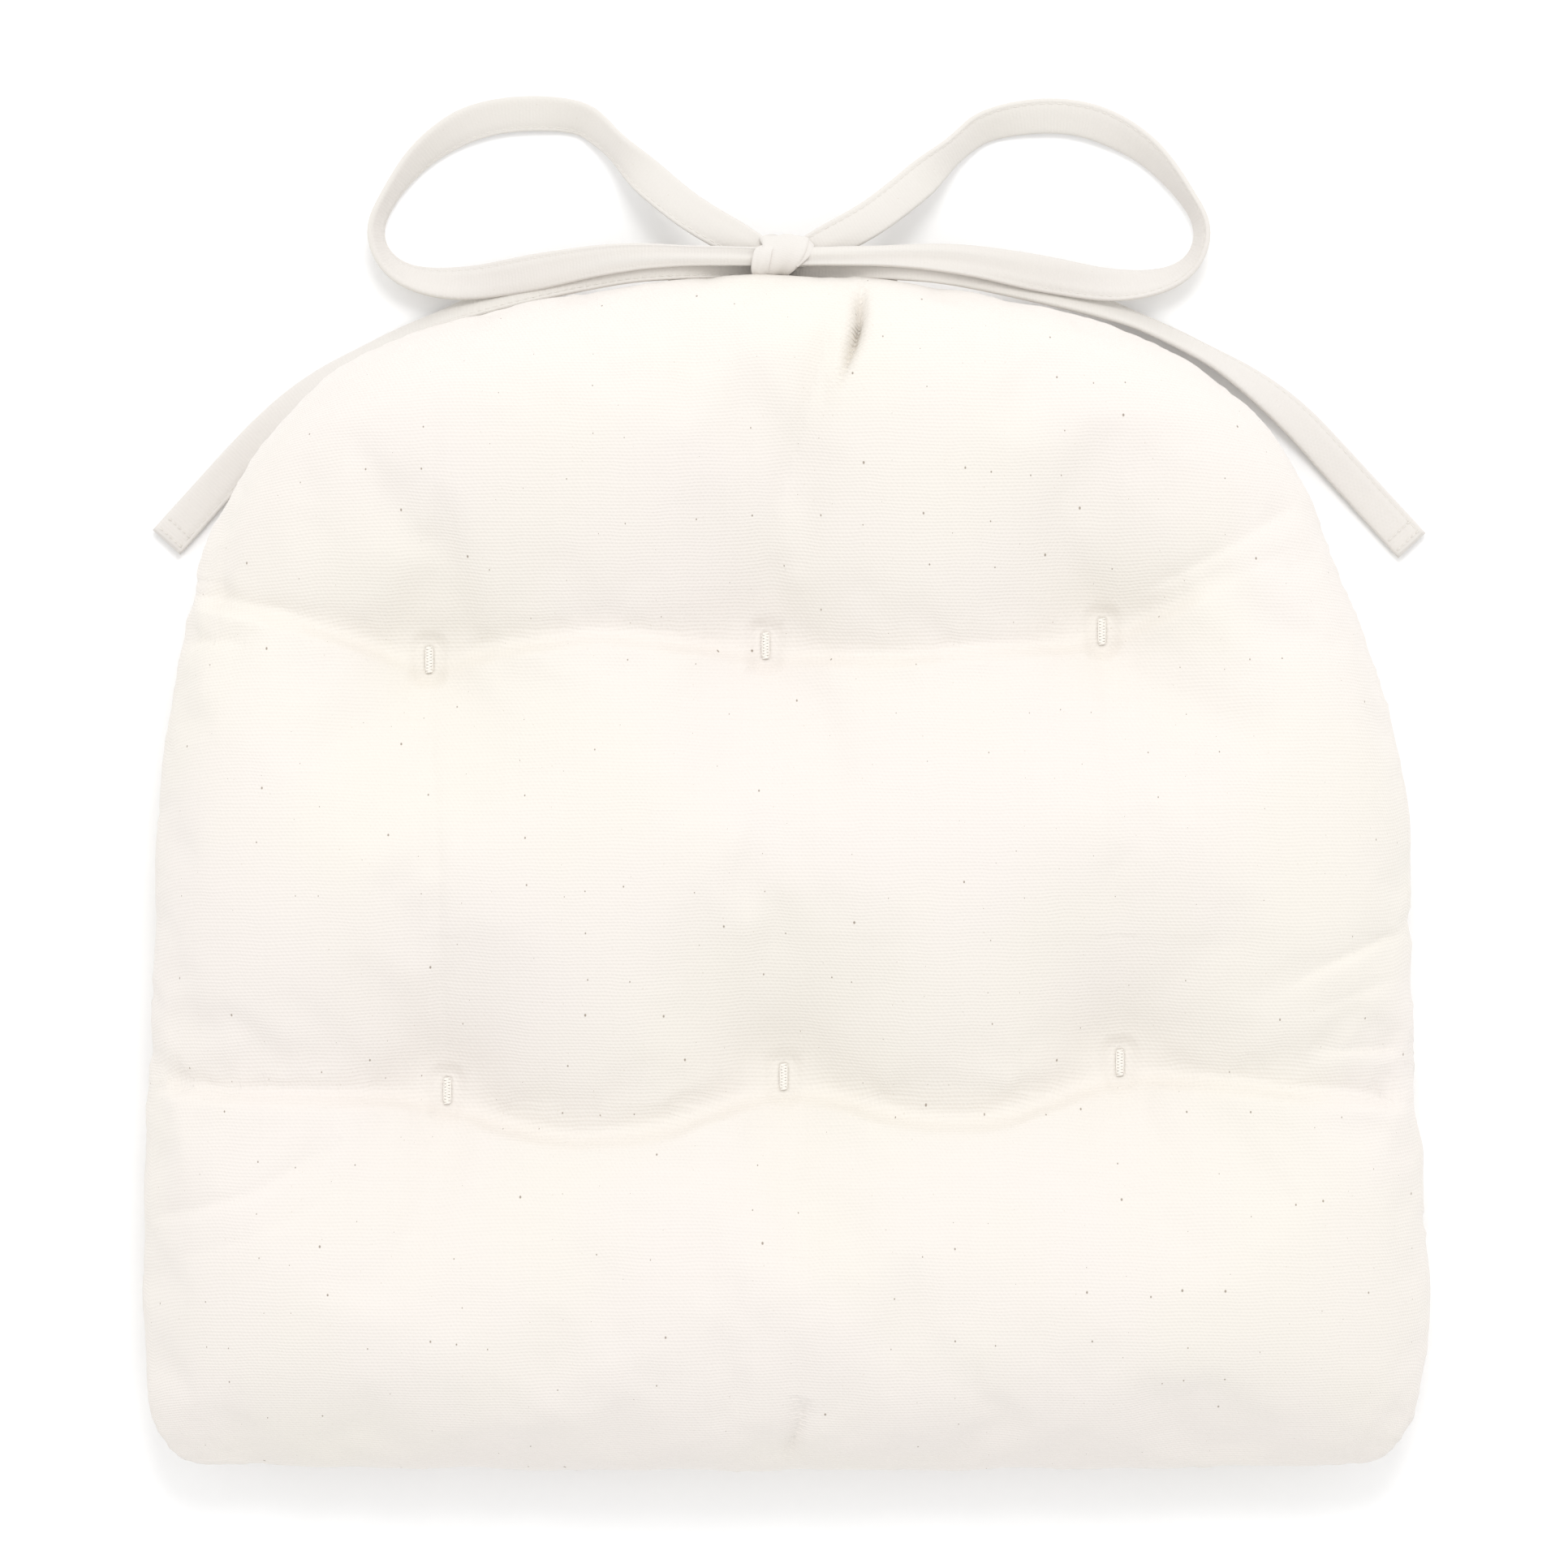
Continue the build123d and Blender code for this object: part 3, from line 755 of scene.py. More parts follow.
flat = lattice_points()
ring_count = len(flat_edge)
ring_edges = [(i, (i + 1) % ring_count) for i in range(ring_count)]
made = delaunay_2d_cdt([Vector(p) for p in flat], ring_edges, [], 1, 0.001)
flat = np.array([v[:] for v in made[0]])
triangles = [tuple(f) for f in made[2]]
seam_of = [ids[0] if ids else -1 for ids in made[3]]
on_seam = np.array([0 <= i < ring_count for i in seam_of])
gap, nearest = edge_distance(flat)
gap[on_seam] = 0


def made_up(rolls, rise):
    """Plan and rise of each flat point once a panel is made up over its fill."""
    facing = edge_out[nearest, 1]
    roll = rolls["side"] + (rolls["back"] - rolls["side"]) * np.clip(facing, 0, 1) ** 2
    roll = roll + (rolls["front"] - rolls["side"]) * np.clip(-facing, 0, 1) ** 2
    plan_in, height = np.zeros(len(flat)), np.full(len(flat), float(rise))
    for size in np.unique(np.round(roll)):
        here = np.round(roll) == size
        share, inset, up = ellipse_table(size, rise)
        reach = size + EASE
        t = np.clip(gap[here] / reach, 0, 1)
        rolled = gap[here] < reach
        plan_in[here] = np.where(rolled, np.interp(t, share, inset), gap[here] - EASE)
        height[here] = np.where(rolled, np.interp(t, share, up), rise)
    plan = flat - edge_out[nearest] * (EASE - gap + plan_in)[:, None]
    return plan, height


# Each row of tacks lies in a valley that runs from edge to edge. Given points of the
# valley's floor, with its depth below the crown.
VALLEYS = {
    "back": [
        (-190, 89, 4), (-178, 87, 6), (-160, 83, 10), (-135, 76, 14), "left", (-85, 72, 16),
        (-56, 76, 14), (-30, 73.5, 15), "centre", (30, 68.5, 15), (60, 71, 14), (80, 72.5, 15),
        "right", (118, 84, 10), (135, 95, 5), (150, 103, 2),
    ],
    "front": [
        (-198, -61, 4), (-175, -63, 8), (-150, -64, 12), (-125, -64.5, 15), "left",
        (-86, -73, 17), (-64, -77.5, 16), (-38, -75, 16), (-18, -67.5, 17), "centre",
        (18, -65.5, 17), (40, -71.5, 16), (62, -72, 16), (84, -65, 17), "right",
        (122, -59.5, 15), (150, -62, 12), (175, -65, 8), (198, -67, 4),
    ],
}
TACK_DEPTH = CROWN - max(t[3] for t in TACKS.values()) + 0.8
TACK_VALLEY = 16.0  # depth of a valley's floor at a bar tack
VALLEY_SHARE = 1.28  # the valleys are this many times as deep before the cover swells
VALLEY_SPREAD = (32.0, 38.0)  # reach of a valley's back and front slopes
TUFT_SPREAD = 35.0  # reach of the slope round a tack
HELD_RADIUS = 4.5  # the cover is held fast this far round each tack while it swells
HELD_FLOOR = 2.6  # and half held this far on both sides of a valley's floor
RESTING = 0.15  # the underside is held where it is lower than this
SWELL_CAP = 14.0  # no point of the cover swells further
SWELL_SHARE = 0.85  # share of the swelling that is kept


def valley_line(row):
    """Smooth floor of a row's valley: plan place and depth, from left to right."""
    points = []
    for stop in VALLEYS[row]:
        if isinstance(stop, str):
            x, y = TACKS[f"{row}_{stop}"][:2]
            points.append((x, y, TACK_VALLEY))
        else:
            points.append(stop)
    points = np.array(points, float)
    x = np.linspace(points[0, 0], points[-1, 0], 400)
    line = at_places(x, points[:, 0], points)
    line[:, 0] = x
    for i in (1, 2):
        line[:, i] = smoothed(line[:, i], 7)
    return line


VALLEY_LINES = {row: valley_line(row) for row in VALLEYS}


def beside(line, plan):
    """How far each place is from a line, on which side, and where along the line."""
    far, which = nearest_to(plan, line[:, :2])
    tangents = np.gradient(line[:, :2], axis=0)
    offset = plan - line[which, :2]
    cross = tangents[which, 0] * offset[:, 1] - tangents[which, 1] * offset[:, 0]
    return far, np.sign(cross), which


def soft_max(a, b, power=4):
    return (a**power + b**power) ** (1 / power)


def valley_depth(plan):
    """Broad valleys along the tack rows, with a tuft at each tack."""
    depth = np.zeros(len(plan))
    for line in VALLEY_LINES.values():
        far, side, which = beside(line, plan)
        spread = np.where(side > 0, *VALLEY_SPREAD)
        depth = soft_max(depth, VALLEY_SHARE * line[which, 2] * np.exp(-((far / spread) ** 1.35)))
    for r, _, _ in tack_gaps(plan):
        depth = soft_max(depth, TACK_DEPTH * np.exp(-((r / TUFT_SPREAD) ** 1.3)), 6)
    return depth


top_plan, top_rise = made_up(TOP_ROLL, CROWN - SEAM)
under_plan, under_rise = made_up(BOTTOM_ROLL, SEAM)
top_z = SEAM + top_rise
top_z -= valley_depth(top_plan) * ease(top_rise / (CROWN - SEAM) * 1.1)
under_z = SEAM - under_rise
for r, low, _ in tack_gaps(under_plan):
    under_z = np.maximum(under_z, (low + 0.8) * np.exp(-((r / 13.0) ** 1.4)))

neighbours = sorted({tuple(sorted(e)) for f in triangles for e in zip(f, f[1:] + f[:1])})
neighbours = np.array(neighbours)


def smooth_over(values, share, rounds):
    """Averages each pattern point's values with its neighbours', by its share."""
    degree = np.zeros(len(values))
    np.add.at(degree, neighbours[:, 0], 1)
    np.add.at(degree, neighbours[:, 1], 1)
    for _ in range(rounds):
        total = np.zeros_like(values)
        np.add.at(total, neighbours[:, 0], values[neighbours[:, 1]])
        np.add.at(total, neighbours[:, 1], values[neighbours[:, 0]])
        values = values + (total / degree[:, None] - values) * share[:, None]
    return values


# The made-up form is evened out, most at the front corners and not at all at the tacks
corner_far = np.hypot(np.abs(flat[:, 0]) - 160, flat[:, 1] + 150)
share = np.where(on_seam, 0.0, 0.3 + 0.6 * np.exp(-((corner_far / 48) ** 4)))
for r, _, _ in tack_gaps(flat):
    share *= 1 - np.exp(-((r / 22) ** 2))
top_smooth = smooth_over(np.column_stack([top_plan, top_z]), share, 60)
top_plan, top_z = top_smooth[:, :2], top_smooth[:, 2]
under_smooth = smooth_over(np.column_stack([under_plan, under_z]), share, 30)
under_plan, under_z = under_smooth[:, :2], under_smooth[:, 2]

# One closed mesh for the simulation: the underside shares the seam's points
under_index = {}
points = [tuple(p) + (z,) for p, z in zip(top_plan, top_z)]
for i in range(len(flat)):
    if on_seam[i]:
        under_index[i] = i
    else:
        under_index[i] = len(points)
        points.append((*under_plan[i], under_z[i]))
cover_faces = triangles + [tuple(under_index[i] for i in f)[::-1] for f in triangles]
cover = mesh_piece("cover_blank", points, cover_faces)

# A grid cell's two triangles become one square again
shell = bmesh.new()
shell.from_mesh(cover.data)
bmesh.ops.join_triangles(
    shell, faces=shell.faces, angle_face_threshold=0.9, angle_shape_threshold=0.5,
    cmp_seam=False, cmp_sharp=False, cmp_uvs=False, cmp_vcols=False, cmp_materials=False,
)
shell.to_mesh(cover.data)
shell.free()
start_points = np.array(points)

pin = cover.vertex_groups.new(name="held")
top_count = len(flat)


def hold(chosen, weight=1.0, mode="REPLACE"):
    """Pins points of the cover in place, as far as their weight says."""
    for i in chosen:
        pin.add([int(i)], weight, mode)


hold(np.where(on_seam)[0])
for r, _, _ in tack_gaps(top_plan):
    hold(np.where(r < HELD_RADIUS)[0])
for r, _, _ in tack_gaps(under_plan):
    hold(under_index[int(i)] for i in np.where(r < HELD_RADIUS)[0])
for line in VALLEY_LINES.values():
    hold(np.where((beside(line, top_plan)[0] < HELD_FLOOR) & ~on_seam)[0], 0.5, "ADD")
hold(under_index[int(i)] for i in np.where(~on_seam & (under_z < RESTING))[0])

CLOTH = {
    "quality": 6,
    "mass": 0.35,
    "tension_stiffness": 30,
    "compression_stiffness": 30,
    "shear_stiffness": 12,
    "bending_stiffness": 1.2,
    "tension_damping": 12,
    "compression_damping": 12,
    "shear_damping": 12,
    "air_damping": 3,
    "use_pressure": True,
    "uniform_pressure_force": 3.0,
    "shrink_min": -0.012,
    "vertex_group_mass": "held",
    "pin_stiffness": 4.0,
}


def simulate(piece, frames=20):
    """Lets the cover swell over its fill, then caps how far any point has moved."""
    cloth = piece.modifiers.new("cover", "CLOTH")
    for key, value in CLOTH.items():
        setattr(cloth.settings, key, value)
    cloth.settings.effector_weights.gravity = 0
    cloth.collision_settings.use_collision = False
    cloth.point_cache.frame_start = 1
    cloth.point_cache.frame_end = frames
    scene = bpy.context.scene
    for f in range(1, frames + 1):
        scene.frame_set(f)
    graph = bpy.context.evaluated_depsgraph_get()
    moved = np.array([v.co[:] for v in piece.evaluated_get(graph).data.vertices]) / MM
    scene.frame_set(1)
    piece.modifiers.remove(cloth)
    shift = moved - start_points
    size = np.linalg.norm(shift, axis=1)
    shift *= (np.minimum(size, SWELL_CAP) / np.maximum(size, 1e-6))[:, None]
    return start_points + SWELL_SHARE * shift


relaxed = simulate(cover)
cover.data.vertices.foreach_set("co", (relaxed * MM).ravel())

polygons = [tuple(p.vertices) for p in cover.data.polygons]
bpy.data.objects.remove(cover)
# Which pattern point each point of the cover comes from
pattern_point = {}
for i in range(top_count):
    pattern_point[i] = i
    pattern_point[under_index[i]] = i


def panel(name, kept, sideways):
    """One panel of the cover, with its flat-pattern place and seam gap on its points."""
    used = list(dict.fromkeys(i for p in kept for i in p))
    index = {i: k for k, i in enumerate(used)}
    sources = [pattern_point[i] for i in used]
    piece = mesh_piece(name, relaxed[used], [tuple(index[i] for i in p) for p in kept])
    places = np.column_stack([flat[sources] * MM * (sideways, 1), np.zeros(len(used))])
    set_attribute(piece, "cloth", places)
    set_attribute(piece, "gap", gap[sources])
    return piece


top_polygons = [p for p in polygons if max(p) < top_count]
under_polygons = [p for p in polygons if max(p) >= top_count]
top_cover = panel("top_cover", top_polygons, 1)
under_cover = panel("under_cover", under_polygons, -1)


def apply_modifiers(piece):
    graph = bpy.context.evaluated_depsgraph_get()
    mesh = bpy.data.meshes.new_from_object(piece.evaluated_get(graph))
    old = piece.data
    piece.modifiers.clear()
    piece.data = mesh
    mesh.name = old.name
    bpy.data.meshes.remove(old)
    mesh.shade_smooth()


def read(data, field, size):
    values = np.empty(len(data) * size)
    data.foreach_get(field, values)
    return values.reshape(-1, size)


def write_points(piece, points):
    piece.data.vertices.foreach_set("co", (points * MM).ravel())
    piece.data.update()


def finer(piece):
    smoother = piece.modifiers.new("finer", "SUBSURF")
    smoother.levels = smoother.render_levels = 1
    apply_modifiers(piece)


def stroke_line(points, step=1.5):
    """A smooth line through given (x, y, depth) points, evenly spaced."""
    points = np.array(points, float)
    run = run_along(points[:, :2])
    line = at_places(np.linspace(0, run[-1], max(int(run[-1] / step), 12)), run, points)
    reach = min(7, len(line) // 3)
    kernel = np.hanning(2 * reach + 1)
    kernel /= kernel.sum()
    for i in range(3):
        before = 2 * line[0, i] - line[reach:0:-1, i]
        after = 2 * line[-1, i] - line[-2 : -reach - 2 : -1, i]
        line[:, i] = np.convolve(np.concatenate([before, line[:, i], after]), kernel, mode="valid")
    return line


def crest(row, depth, fade):
    """The tight fold along a valley's floor, which fades out towards both ends."""
    x, y = VALLEY_LINES[row][:, :2].T
    ends = np.clip((x - x[0]) / fade[0], 0, 1) * np.clip((x[-1] - x) / fade[1], 0, 1)
    return np.stack([x, y, depth * ease(ends)], axis=1)[::4]


# The one sharp fold, at the back, just right of the middle
SHARP_FOLD = [
    (24.4, 183, 2.0), (24.4, 176, 7.0), (23.6, 169, 9.5), (22, 162, 7.0), (19, 154, 2.4), (16, 147, 0),
]
# Folds pressed into the cover: (x, y, depth) points, then how far the fold's left and
# right flanks reach, in millimetres. A flank with a minus sign is a ramp of that width.
CREASES = [
    (crest("back", 5.2, (12, 60)), 11, -6.0),
    (crest("front", 6.0, (10, 14)), 12, -6.5),
    ([(-190, 69, 0), (-182, 71.5, 1.8), (-174, 72.5, 1.7), (-163, 71, 0)], 3.5, 1.4),
    ([(-133, -80, 0), (-141, -84, 1.4), (-160, -95, 2.0), (-180, -101, 1.9), (-197, -105, 0.8)], 2.5, 7),
    ([(-128, -92, 0), (-150, -104, 0.8), (-172, -113, 0.7), (-190, -116, 0)], 3, 9),
    ([(104, 84, 0), (118, 90, 1.6), (134, 99, 1.8), (148, 108, 1.5), (162, 117, 0)], 7, 2.2),
    ([(110, 80, 0), (126, 86, 0.9), (146, 95, 1.1), (160, 103, 0)], 8, 2.5),
    ([(150, -36, 0), (160, -29, 1.3), (172, -24, 2.0), (186, -18.5, 2.1), (197, -14, 1.0)], 5, 1.6),
    ([(158, -42, 0), (170, -38, 0.9), (184, -32, 0.9), (195, -29, 0)], 5, 2),
    ([(160, -53, 0), (172, -52.5, 1.7), (185, -52, 1.9), (197, -54, 1.0)], 4, 1.4),
    (SHARP_FOLD, 1.2, 2.2),
    (
        [
            (19, 183, 0.4), (15, 168, 2.4), (9, 150, 3.4), (4, 130, 3.0), (-1, 112, 2.2),
            (-4, 92, 1.4), (-5, 76, 0),
        ],
        7,
        3.5,
    ),
    (
        [(-15, 184, 0.2), (-16, 160, 1.4), (-14, 140, 2.0), (-9, 118, 1.8), (-6, 98, 1.0), (-5, 80, 0)],
        6,
        6,
    ),
    ([(10, 176, 0), (14, 160, 1.4), (12, 142, 1.5), (6, 122, 0)], 4, 5),
    ([(90, 172, 0), (91.5, 166, 1.0), (94, 158, 0.8), (98, 150, 0)], 3, 5),
    ([(-105, 150, 0), (-105.5, 120, 0.8), (-107, 92, 1.2), (-108, 74, 0.6)], 3, 6),
    ([(99, 150, 0), (98, 125, 0.4), (98, 100, 0.7), (98, 84, 0.4)], 5, 5),
    ([(-108, 60, 0.6), (-107, 40, 1.3), (-104, 8, 1.1), (-104, -25, 1.3), (-103, -58, 0.6)], 3, 7),
    ([(-5, 62, 0.4), (-4, 40, 0.5), (-2, 8, 0.3), (0, -25, 0.5), (0, -52, 0.4)], 6, 6),
    ([(98, 66, 0.6), (99, 40, 1.3), (100, 8, 1.1), (102, -20, 1.3), (103, -48, 0.6)], 7, 3),
    ([(-103, -74, 0.4), (-104, -95, 0.6), (-104, -120, 0.4), (-103, -150, 0)], 5, 5),
    ([(0, -70, 0.4), (0, -95, 0.3), (1, -120, 0.4), (3, -150, 0.9), (5, -163, 1.2)], 5, 5),
    ([(103, -66, 0.4), (104, -90, 0.5), (104, -120, 0.3), (102, -150, 0)], 5, 5),
    ([(7.5, -158, 0), (6, -165, 2.2), (3.5, -173, 3.4), (1, -181, 2.8), (0, -186, 0.8)], 1.8, 5),
]
CREASE_LINES = [(stroke_line(points), left, right) for points, left, right in CREASES]


def flank(far, reach):
    """Share of a fold's depth at a distance from its line."""
    return 1 - ease(far / -reach) if reach < 0 else np.exp(-far / reach)


def seam_free(plan):
    """Share of a fold's depth that is left close to the seam."""
    return ease((nearest_to(plan, edge)[0] - 1.0) / 8.0)


def crease_depth(plan, margin=0.0):
    """Depth of all the folds at each place. A margin makes every fold wider."""
    total = np.zeros(len(plan))
    for line, left, right in CREASE_LINES:
        low, high = line[:, :2].min(axis=0) - 40, line[:, :2].max(axis=0) + 40
        near = ((plan > low) & (plan < high)).all(axis=1)
        if not near.any():
            continue
        far, side, which = beside(line, plan[near])
        far = np.sqrt(np.maximum(far - margin, 0) ** 2 + 0.5) - 0.7
        share = np.where(side > 0, flank(far, left), flank(far, right))
        total[near] += line[which, 2] * share
    for r, _, _ in tack_gaps(plan):
        total *= 1 - 0.9 * np.exp(-((r / 9) ** 2))
    return total * seam_free(plan)


# How close to a fold or a tack the mesh is made finer
CREST_FINE, FOLD_FINE, SHARP_FINE, TACK_FINE = 6.3, 5.0, 3.2, 5.0


def near_creases(centres):
    near = np.zeros(len(centres), bool)
    for line, left, right in CREASE_LINES:
        if min(abs(left), abs(right)) <= 3 or right < 0:
            near |= beside(line, centres)[0] < (CREST_FINE if right < 0 else FOLD_FINE)
    return near


def near_sharp_fold(centres):
    return beside(stroke_line(SHARP_FOLD), centres)[0] < SHARP_FINE


def near_tacks(centres):
    return np.min([r for r, _, _ in tack_gaps(centres)], axis=0) < TACK_FINE


def finer_where(piece, chosen):
    """Splits the faces whose middles are chosen into a three by three grid."""
    shell = bmesh.new()
    shell.from_mesh(piece.data)
    shell.faces.ensure_lookup_table()
    near = chosen(np.array([f.calc_center_median()[:2] for f in shell.faces]) / MM)
    edges = {e for i in np.where(near)[0] for e in shell.faces[i].edges}
    edges = sorted(edges, key=lambda e: e.index)
    bmesh.ops.subdivide_edges(shell, edges=edges, cuts=2, use_grid_fill=True)
    shell.to_mesh(piece.data)
    shell.free()
    piece.data.shade_smooth()


BELOW_TOP, ABOVE_UNDER = 1.6, 0.4  # the fill stays this far inside the two covers
TACK_CLEAR = 3.0  # and this far inside the ends of a tack, with a slope from this radius:
TACK_SLOPE = 5.0


def layer(name, upper, lower, material, slot, least_gap=13.0):
    """Fill between two shares of the way from the top cover down to the under cover."""
    kept = [p for p in top_polygons if all(gap[i] > least_gap for i in p)]
    used = sorted({i for p in kept for i in p})
    index = {i: k for k, i in enumerate(used)}
    high = relaxed[used] - (0, 0, BELOW_TOP)
    high[:, 2] -= 1.1 * crease_depth(high[:, :2], 4.5)
    low = relaxed[[under_index[i] for i in used]] + (0, 0, ABOVE_UNDER)
    for r, _, tack_high in tack_gaps(high):
        high[:, 2] = np.minimum(high[:, 2], tack_high - TACK_CLEAR + np.maximum(r - TACK_SLOPE, 0))
    for r, tack_low, _ in tack_gaps(low):
        low[:, 2] = np.maximum(low[:, 2], tack_low + TACK_CLEAR - np.maximum(r - TACK_SLOPE, 0))
    low[:, 2] = np.minimum(low[:, 2], high[:, 2] - 1)
    points = np.vstack([high + (low - high) * upper, high + (low - high) * lower])
    faces = [tuple(index[i] for i in p) for p in kept]
    sides = dict.fromkeys((a, b) for f in faces for a, b in zip(f, f[1:] + f[:1]))
    count = len(used)
    rim = [(b, a, a + count, b + count) for a, b in sides if (b, a) not in sides]
    under = [tuple(i + count for i in f)[::-1] for f in faces]
    return finish_piece(mesh_piece(name + "_layer", points, faces + under + rim), material, slot, name)


layer("batting_top", 0.04, 0.22, BATTING, "batting")
layer("foam_core", 0.23, 0.77, FOAM, "foam")
layer("batting_bottom", 0.78, 0.95, BATTING, "batting")

finer(top_cover)
finer(under_cover)
for chosen in (near_creases, near_tacks, near_sharp_fold):
    finer_where(top_cover, chosen)
finer_where(under_cover, near_tacks)

TACK_HALF = (0.9, 3.6)  # half the width and length of a bar tack's threads
BOWL = 5.0  # width of the bowl that the cover is drawn into round them
MOAT_DEPTH = 0.3
GROOVE_DEPTH, GROOVE_SPREAD = 1.9, 1.3
BEDDED = 0.42  # a bowl's floor lies this far inside the end of its bar tack


def dish(points, level, sign):
    """Draws the cover down to each bar tack, with a tight moat round its threads."""
    for (x, y, _, _), floor_level in zip(TACKS.values(), level):
        dx, dy = np.abs(points[:, 0] - x), np.abs(points[:, 1] - y)
        rim = np.hypot(np.maximum(dx - TACK_HALF[0], 0), np.maximum(dy - TACK_HALF[1], 0))
        share = 1 - ease((rim - 0.8) / BOWL)
        share[np.abs(points[:, 2] - floor_level) > 25] = 0
        points[:, 2] += share * (floor_level - points[:, 2])
        points[:, 2] -= sign * MOAT_DEPTH * np.exp(-(((rim - 0.4) / 0.3) ** 2))
    return points


# The folds, and the groove where the two panels meet at the seam
for piece in (top_cover, under_cover):
    points = read(piece.data.vertices, "co", 3) / MM
    normals = read(piece.data.vertex_normals, "vector", 3)
    gaps = read(piece.data.attributes["gap"].data, "value", 1)
    outwards = normals * (1, 1, 0)
    outwards /= np.maximum(np.linalg.norm(outwards, axis=1), 1e-6)[:, None]
    points -= outwards * (GROOVE_DEPTH * np.exp(-gaps / GROOVE_SPREAD))
    if piece is top_cover:
        points -= normals * crease_depth(points[:, :2])[:, None]
        points = dish(points, [high - BEDDED for _, _, _, high in TACKS.values()], 1)
    else:
        points = dish(points, [low + BEDDED for _, _, low, _ in TACKS.values()], -1)
        points[:, 2] = np.maximum(points[:, 2], 0.0)
    write_points(piece, points)

finish_piece(top_cover, COVER_CLOTH, "cloth", "top_panel")
finish_piece(under_cover, COVER_CLOTH, "cloth", "bottom_panel")

# ---- knot
def wrapped_band(path, half_widths, half_thicknesses, width_way, pleat, closed, base=0):
    """Points and faces of a soft folded band along a path, as wide as half_widths say."""
    path = np.array(path, float)
    if closed:
        tangents = np.roll(path, -1, axis=0) - np.roll(path, 1, axis=0)
    else:
        tangents = np.gradient(path, axis=0)
    tangents /= np.linalg.norm(tangents, axis=1)[:, None]
    wide = np.array(width_way, float) * np.ones_like(path)
    wide -= tangents * np.sum(wide * tangents, axis=1)[:, None]
    wide /= np.linalg.norm(wide, axis=1)[:, None]
    thick = np.cross(tangents, wide)
    angles = np.linspace(0, 2 * math.pi, 32, endpoint=False)
    u = np.sign(np.cos(angles)) * np.abs(np.cos(angles)) ** 0.8
    v = np.sign(np.sin(angles)) * np.abs(np.sin(angles)) ** 0.8
    points, cloth = [], []
    for i, centre in enumerate(path):
        for a, b in zip(u, v):
            fold = pleat * math.sin(5.2 * a + 0.9 + 0.05 * i) * (1 - a**4) * (1 if b > 0 else -0.4)
            lift = thick[i] * (b * half_thicknesses[i] + fold)
            points.append(centre + wide[i] * a * half_widths[i] + lift)
            cloth.append((a * half_widths[i] * MM, 0.9 * i * MM, 0.01 * base))
    return points, tube_faces(len(path), len(angles), closed), cloth


def joined_piece(name, parts):
    points, faces, cloth = [], [], []
    for part_points, part_faces, part_cloth in parts:
        base = len(points)
        points += part_points
        cloth += part_cloth
        faces += [tuple(base + i for i in f) for f in part_faces]
    piece = mesh_piece(name, points, faces)
    set_attribute(piece, "cloth", cloth)
    return piece


knot_low, knot_high = (np.array(c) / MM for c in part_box("bow_knot"))
knot_middle = (knot_low + knot_high) / 2
KX, KY, KZ = knot_middle
turn = np.linspace(0, 2 * math.pi, 72, endpoint=False)
main_path = np.stack(
    [
        KX - 1.6 + 2.0 * np.cos(turn) + 1.2 * np.sin(turn),
        KY + 4.9 * np.cos(turn),
        KZ + 5.2 * np.sin(turn),
    ],
    axis=1,
)
main_wide = 6.3 + 1.3 * np.cos(turn)
main_thick = 1.6 + 0.15 * np.cos(2 * turn)
main_way = np.stack([np.ones(72), 0.45 * np.sin(turn), -0.45 * np.cos(turn)], axis=1)
main_band = wrapped_band(main_path, main_wide, main_thick, main_way, 0.4, True)


def open_band(route, half_widths, half_thicknesses, width_way, pleat, base):
    """A turn of tape on its own route, with (share of the way, value) sizes."""
    path = route_line(route, 0.6)[0]
    steps = np.linspace(0, 1, len(path))
    sizes = [[table(t, pairs) for t in steps] for pairs in (half_widths, half_thicknesses)]
    return wrapped_band(path, *sizes, width_way, pleat, False, base)


fold_band = open_band(
    [
        (-3.0, 193.0, 29.6), (-5.8, 191.6, 32.2), (-6.6, 188.0, 33.0), (-7.0, 184.7, 31.0),
        (-5.6, 183.9, 27.4), (-2.5, 184.8, 23.6),
    ],
    [(0, 2.0), (0.25, 2.9), (0.6, 2.8), (0.85, 1.9), (1, 1.2)],
    [(0, 0.9), (0.3, 1.3), (0.8, 1.2), (1, 0.9)],
    (1.0, 0.15, 0.1),
    0.25,
    1,
)
tuck_band = open_band(
    [(3.5, 187.0, 31.2), (6.5, 190.0, 31.4), (8.0, 193.0, 29.6), (7.0, 194.6, 26.5), (4.0, 194.5, 23.5)],
    [(0, 1.4), (0.3, 2.0), (0.8, 2.0), (1, 1.4)],
    [(0, 0.8), (0.5, 1.1), (1, 0.9)],
    (0.8, -0.6, 0.2),
    0.15,
    2,
)
core_path = [(KX + x, KY + 0.2, KZ) for x in np.linspace(-8.4, 8.4, 14)]
core_size = 1 - 0.25 * np.abs(np.linspace(-1, 1, 14)) ** 3
core_band = wrapped_band(core_path, 3.6 * core_size, 4.2 * core_size, (0, 1.0, 0), 0.3, False, 3)
knot = joined_piece("knot", [main_band, fold_band, tuck_band, core_band])
finish_piece(knot, TIE_CLOTH, "cloth", "bow_knot")

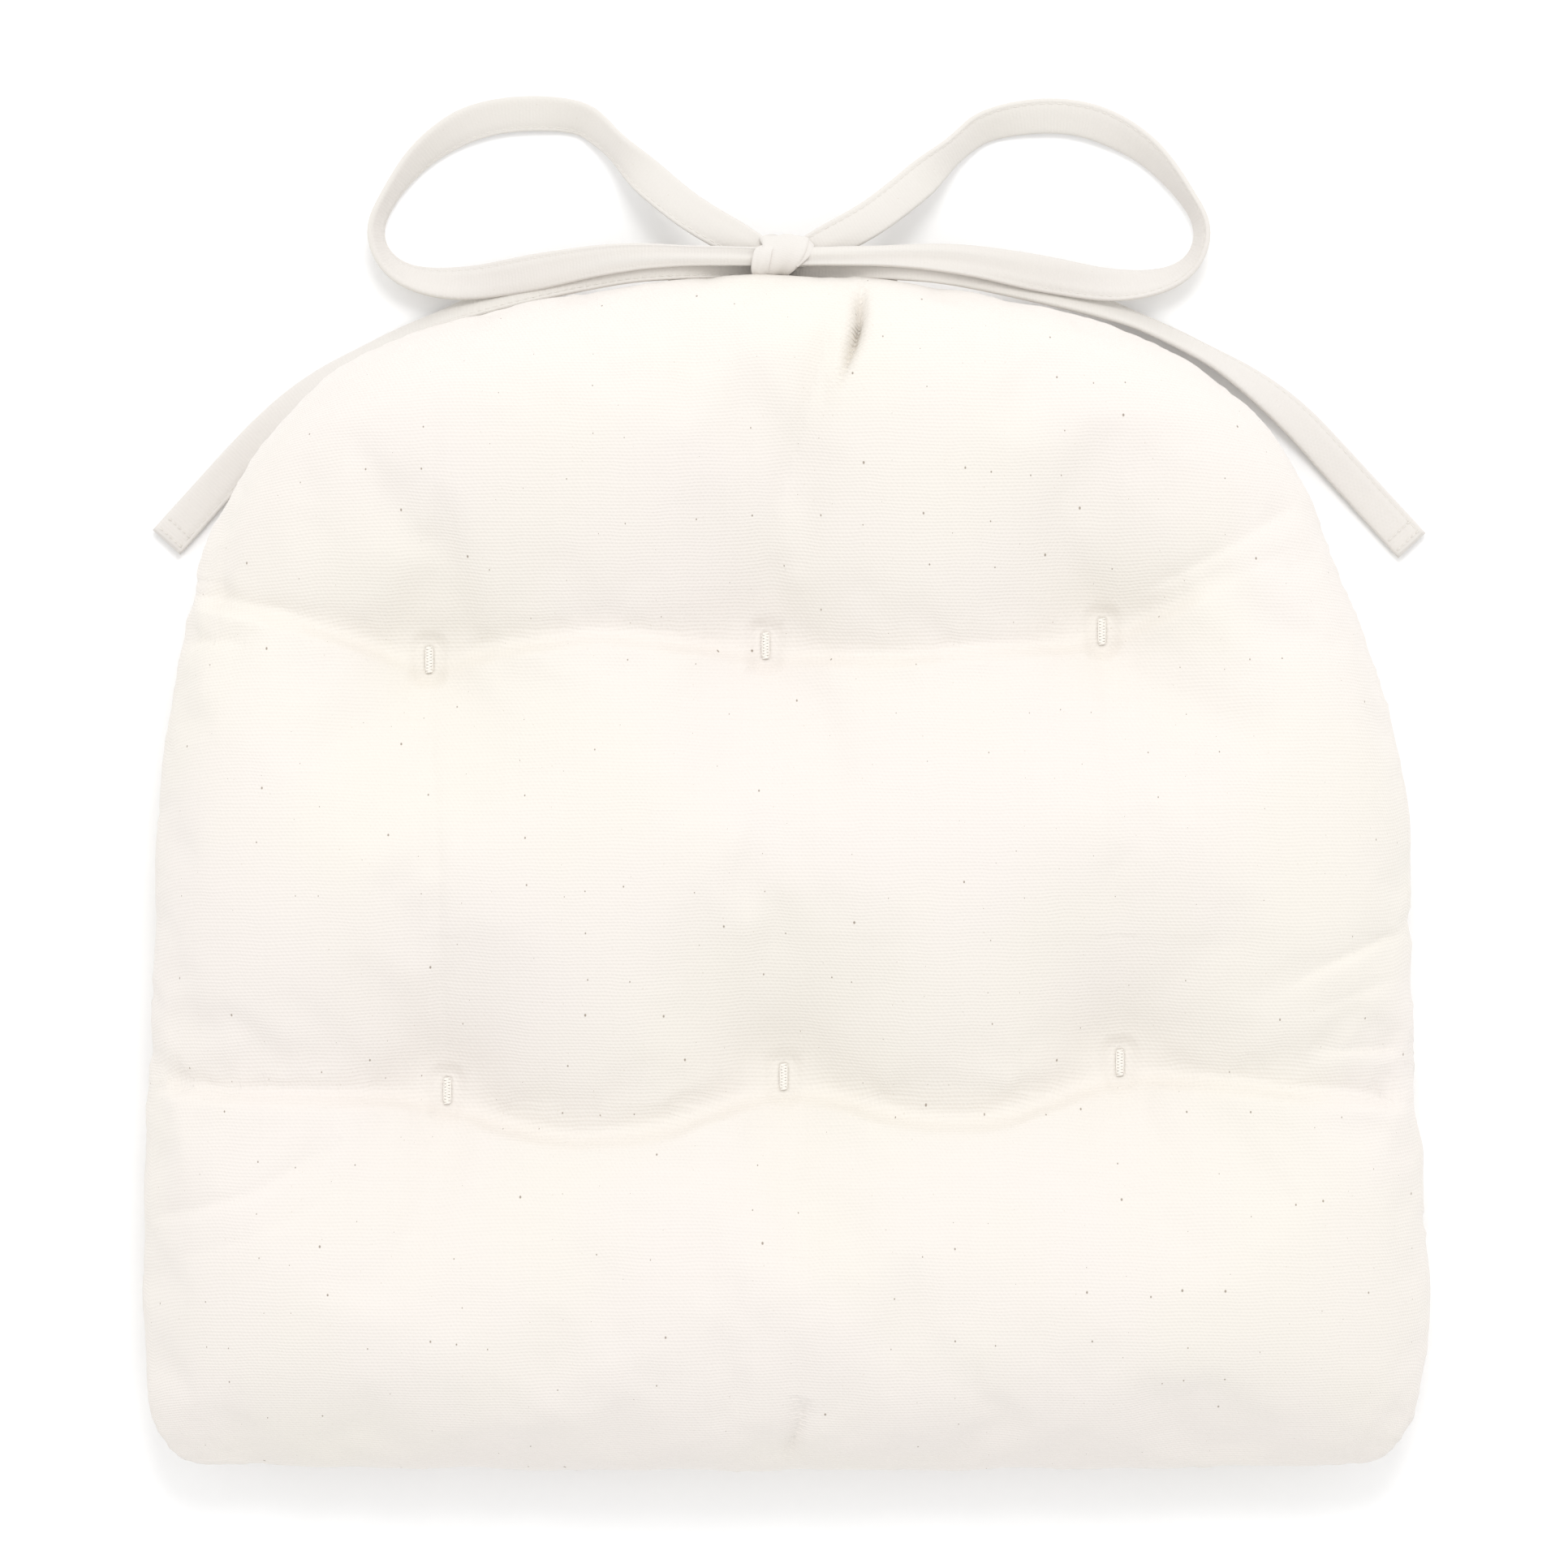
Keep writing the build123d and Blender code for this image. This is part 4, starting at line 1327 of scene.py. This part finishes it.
# ---- tie roots
ROOT_ROUTE = [(30, 173.7, 25), (30, 182, 24.2), (29, 186.8, 21.6), (20, 187.3, 20.8), (9.6, 187.9, 21)]
ROOT_WIDTHS = [(0, 11.3), (0.3, 11.0), (0.45, 9.2), (0.7, 9.4), (1, 8.8)]
ROOT_PLEATS = [(0, 0.0), (0.3, 0.1), (1, 0.3)]
for side, sign in (("left", -1), ("right", 1)):
    line = route_line([(sign * x, y, z) for x, y, z in ROOT_ROUTE], 1.5)[0]
    count = len(line)
    widths, pleats = smooth_profile(count, ROOT_WIDTHS), smooth_profile(count, ROOT_PLEATS)
    flat_rolls = np.zeros(count)
    piece = tape(f"{side}_tie_root_tape", line, widths, np.full(count, 1.8), flat_rolls, pleats)[0]
    finish_piece(piece, TIE_CLOTH, "cloth", f"{side}_tie_root")

# ---- bar tacks
# Close rows of thread across each end of the tack, over two lengthwise ones, and the
# threads that go through the pad
TACK_ROWS = np.linspace(-3.75, 3.75, 17)
TACK_THROUGH = np.linspace(-2.8, 2.8, 5)
for tack_name, (x, y, low, high) in TACKS.items():
    strands = []
    for face, level in ((1, high + 0.15), (-1, low + 0.25)):
        up = (0, 0, face)
        for k, row in enumerate(TACK_ROWS):
            lean = 0.12 * (-1) ** k
            strands.append(((x - 1.0, y + row - lean, level), (x + 1.0, y + row + lean, level), up))
        bed = level - 0.35 * face
        for beside_x in (x - 0.95, x + 0.95):
            strands.append(((beside_x, y - 3.7, bed), (beside_x, y + 3.7, bed), up))
    for row in TACK_THROUGH:
        strands.append(((x - 0.3, y + row, low + 0.4), (x + 0.3, y + row, high - 0.4), (1, 0, 0)))
    thread_piece(f"tack_{tack_name}", strands, 0.27, THREAD, f"bar_tack_{tack_name}")

# ---- seam and closing stitch
def edge_stitches(name, inset, pitch, length, wanted):
    """One row of stitches all round the seam, kept where wanted says."""
    inner = edge - edge_out * inset
    closed = np.vstack([inner, inner[:1]])
    run = run_along(closed)
    strands = []
    place = 0.0
    while place + length < run[-1]:
        a, b = at_places([place, place + length], run, closed)
        if wanted(a):
            strands.append(((*a, SEAM), (*b, SEAM), (0, 0, 1)))
        place += pitch
    return thread_piece(name + "_strands", strands, 0.3, THREAD, name)


def at_opening(place):
    return place[1] > 100 and abs(place[0]) < 115


edge_stitches("seam_thread", inset=3.1, pitch=3.0, length=2.5, wanted=lambda place: True)
edge_stitches("closing_stitch", inset=4.7, pitch=4.0, length=3.2, wanted=at_opening)
